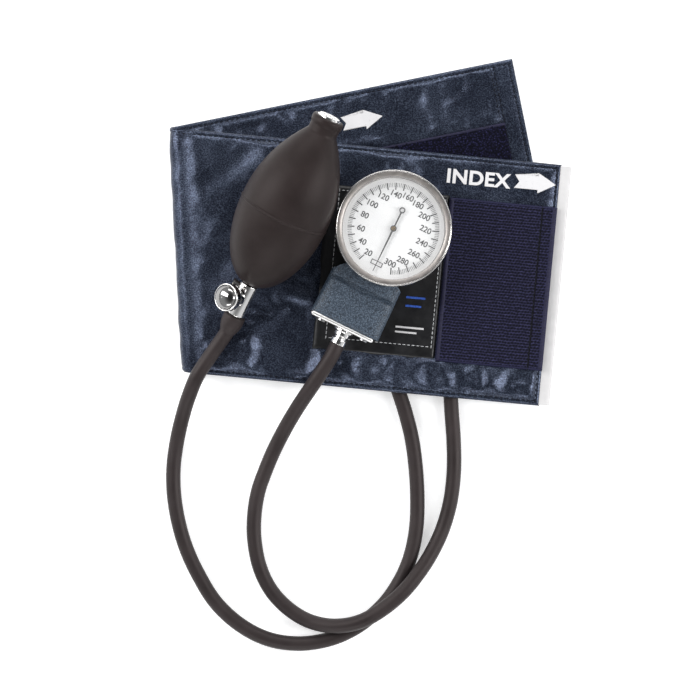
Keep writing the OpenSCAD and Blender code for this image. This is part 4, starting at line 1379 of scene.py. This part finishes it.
def release_valve():
    """Barrel, boss and domed knob of the release valve, all turned and polished."""
    barrel = [
        (1.0, -22), (BARB_R, -22), (BARB_R, BARREL_END - 0.02), (3.6, BARREL_END), (4, BARREL_END + 0.4),
        (4, 0.2), (3.05, 0.4), (3.05, 3.9), (2.25, 3.9), (2.25, -3.4), (1.55, -3.4), (1.55, -12.9),
        (1.0, -12.9),
    ]
    turned("barrel", barrel, 0.25, 64, CHROME, "chrome", IN_BULB, "valve_barrel")
    boss = [(1.95, 3.3), (3.4, 3.3), (3.4, 6.78), (1.95, 6.78)]
    turned("barrel_boss", boss, 0.2, 48, CHROME, "chrome", IN_STEM)
    rim = [(1.65, 9.0), (5.2, 9.0), (6.0, 9.7), (6.15, 12.3), (6.0, 12.9), (5.7, 13.05), (5.4, 12.8),
           (5.3, 12.25), (1.65, 12.25)]
    turned("knob", rim, 0.2, 96, CHROME, "chrome", IN_STEM, "release_knob", "bleed_knob")
    angles = [math.pi * k / 40 for k in range(20)]
    dome = [(5.35 * math.cos(a), 12.6 + 3.1 * math.sin(a)) for a in angles]
    dome += [(0.03, 15.7), (0.03, 12.3), (5.25, 12.3)]
    # The dome takes the darker chrome copy, which is painted shade.
    turned("knob_dome", dome, 0, 96, KNOB, "chrome", IN_STEM, body="bleed_knob")


bulb_body()
tube_boot()
release_valve()

# ---- finish of the CAD pieces that stay

CAD_FINISH = {
    "dial_plate": ENAMEL,
    "gauge_case": SATIN,
    "pointer": INK,
    "pointer_hub": BRASS,
    "lens": GLASS,
}
BY_SLOT = {
    "nylon_navy": NYLON, "hook_tape": HOOK, "loop_tape": LOOP, "label_black": LABEL, "strap_blue": STRAP,
    "strip_white": STRIP, "rubber_black": TUBE_RUBBER, "chrome": CHROME, "steel": STEEL, "brass": BRASS,
    "dial_white": ENAMEL, "pointer_black": INK, "clear_lens": GLASS,
}


def finish_cad():
    slots = {part["node"]: part["material_slot"] for part in frame["record"]["subparts"]}
    for name, obj in frame["nodes"].items():
        material = CAD_FINISH.get(name) or BY_SLOT[slots[name]]
        if not obj.material_slots:
            obj.data.materials.append(material)
        for slot in obj.material_slots:
            slot.material = material


finish_cad()

# ---- stage and light


def add_stage():
    size = 3.0
    mesh = bpy.data.meshes.new("floor")
    corners = [(x, y, 0) for x, y in oblong(-size, -size, size, size)]
    mesh.from_pydata(corners, [], [(0, 1, 2, 3)])
    mesh.materials.append(FLOOR)
    floor = add_object("floor", mesh)
    floor.location.z = -0.0004


def area_light(name, at, size, power):
    """A rectangular lamp that looks at the middle of the set."""
    data = bpy.data.lights.new(name, "AREA")
    data.shape = "RECTANGLE"
    data.size, data.size_y = size
    data.energy = power
    obj = add_object(name, data)
    obj.location = at
    aim = Vector((0, -0.05, 0)) - Vector(at)
    obj.rotation_euler = aim.to_track_quat("-Z", "Y").to_euler()


def add_light():
    """A world that is bright at the sides and dark above, and four soft lamps round the table."""
    world = bpy.data.worlds.new("studio")
    world.use_nodes = True
    tree = world.node_tree
    up = add_node(tree, "SeparateXYZ", Vector=add_node(tree, "TexCoord").outputs["Generated"]).outputs["Z"]
    height = add_node(tree, "MapRange", Value=up, From_Min=0.45, From_Max=1.0, To_Min=0.74, To_Max=0.08)
    height.interpolation_type = "SMOOTHSTEP"
    sky = tree.nodes["Background"].inputs
    sky["Color"].default_value = (0.96, 0.98, 1, 1)
    tree.links.new(height.outputs[0], sky["Strength"])
    bpy.context.scene.world = world
    area_light("key", (-0.8, 0.3, 0.62), (0.35, 0.9), 8)
    area_light("fill", (0.85, -0.1, 0.65), (0.3, 0.8), 7)
    area_light("back", (0.1, 0.9, 0.6), (0.9, 0.3), 5)
    area_light("front", (-0.2, -0.95, 0.6), (0.8, 0.25), 3.2)
    bpy.context.scene.view_settings.view_transform = "Standard"
    bpy.context.scene.view_settings.look = "None"


add_stage()
add_light()
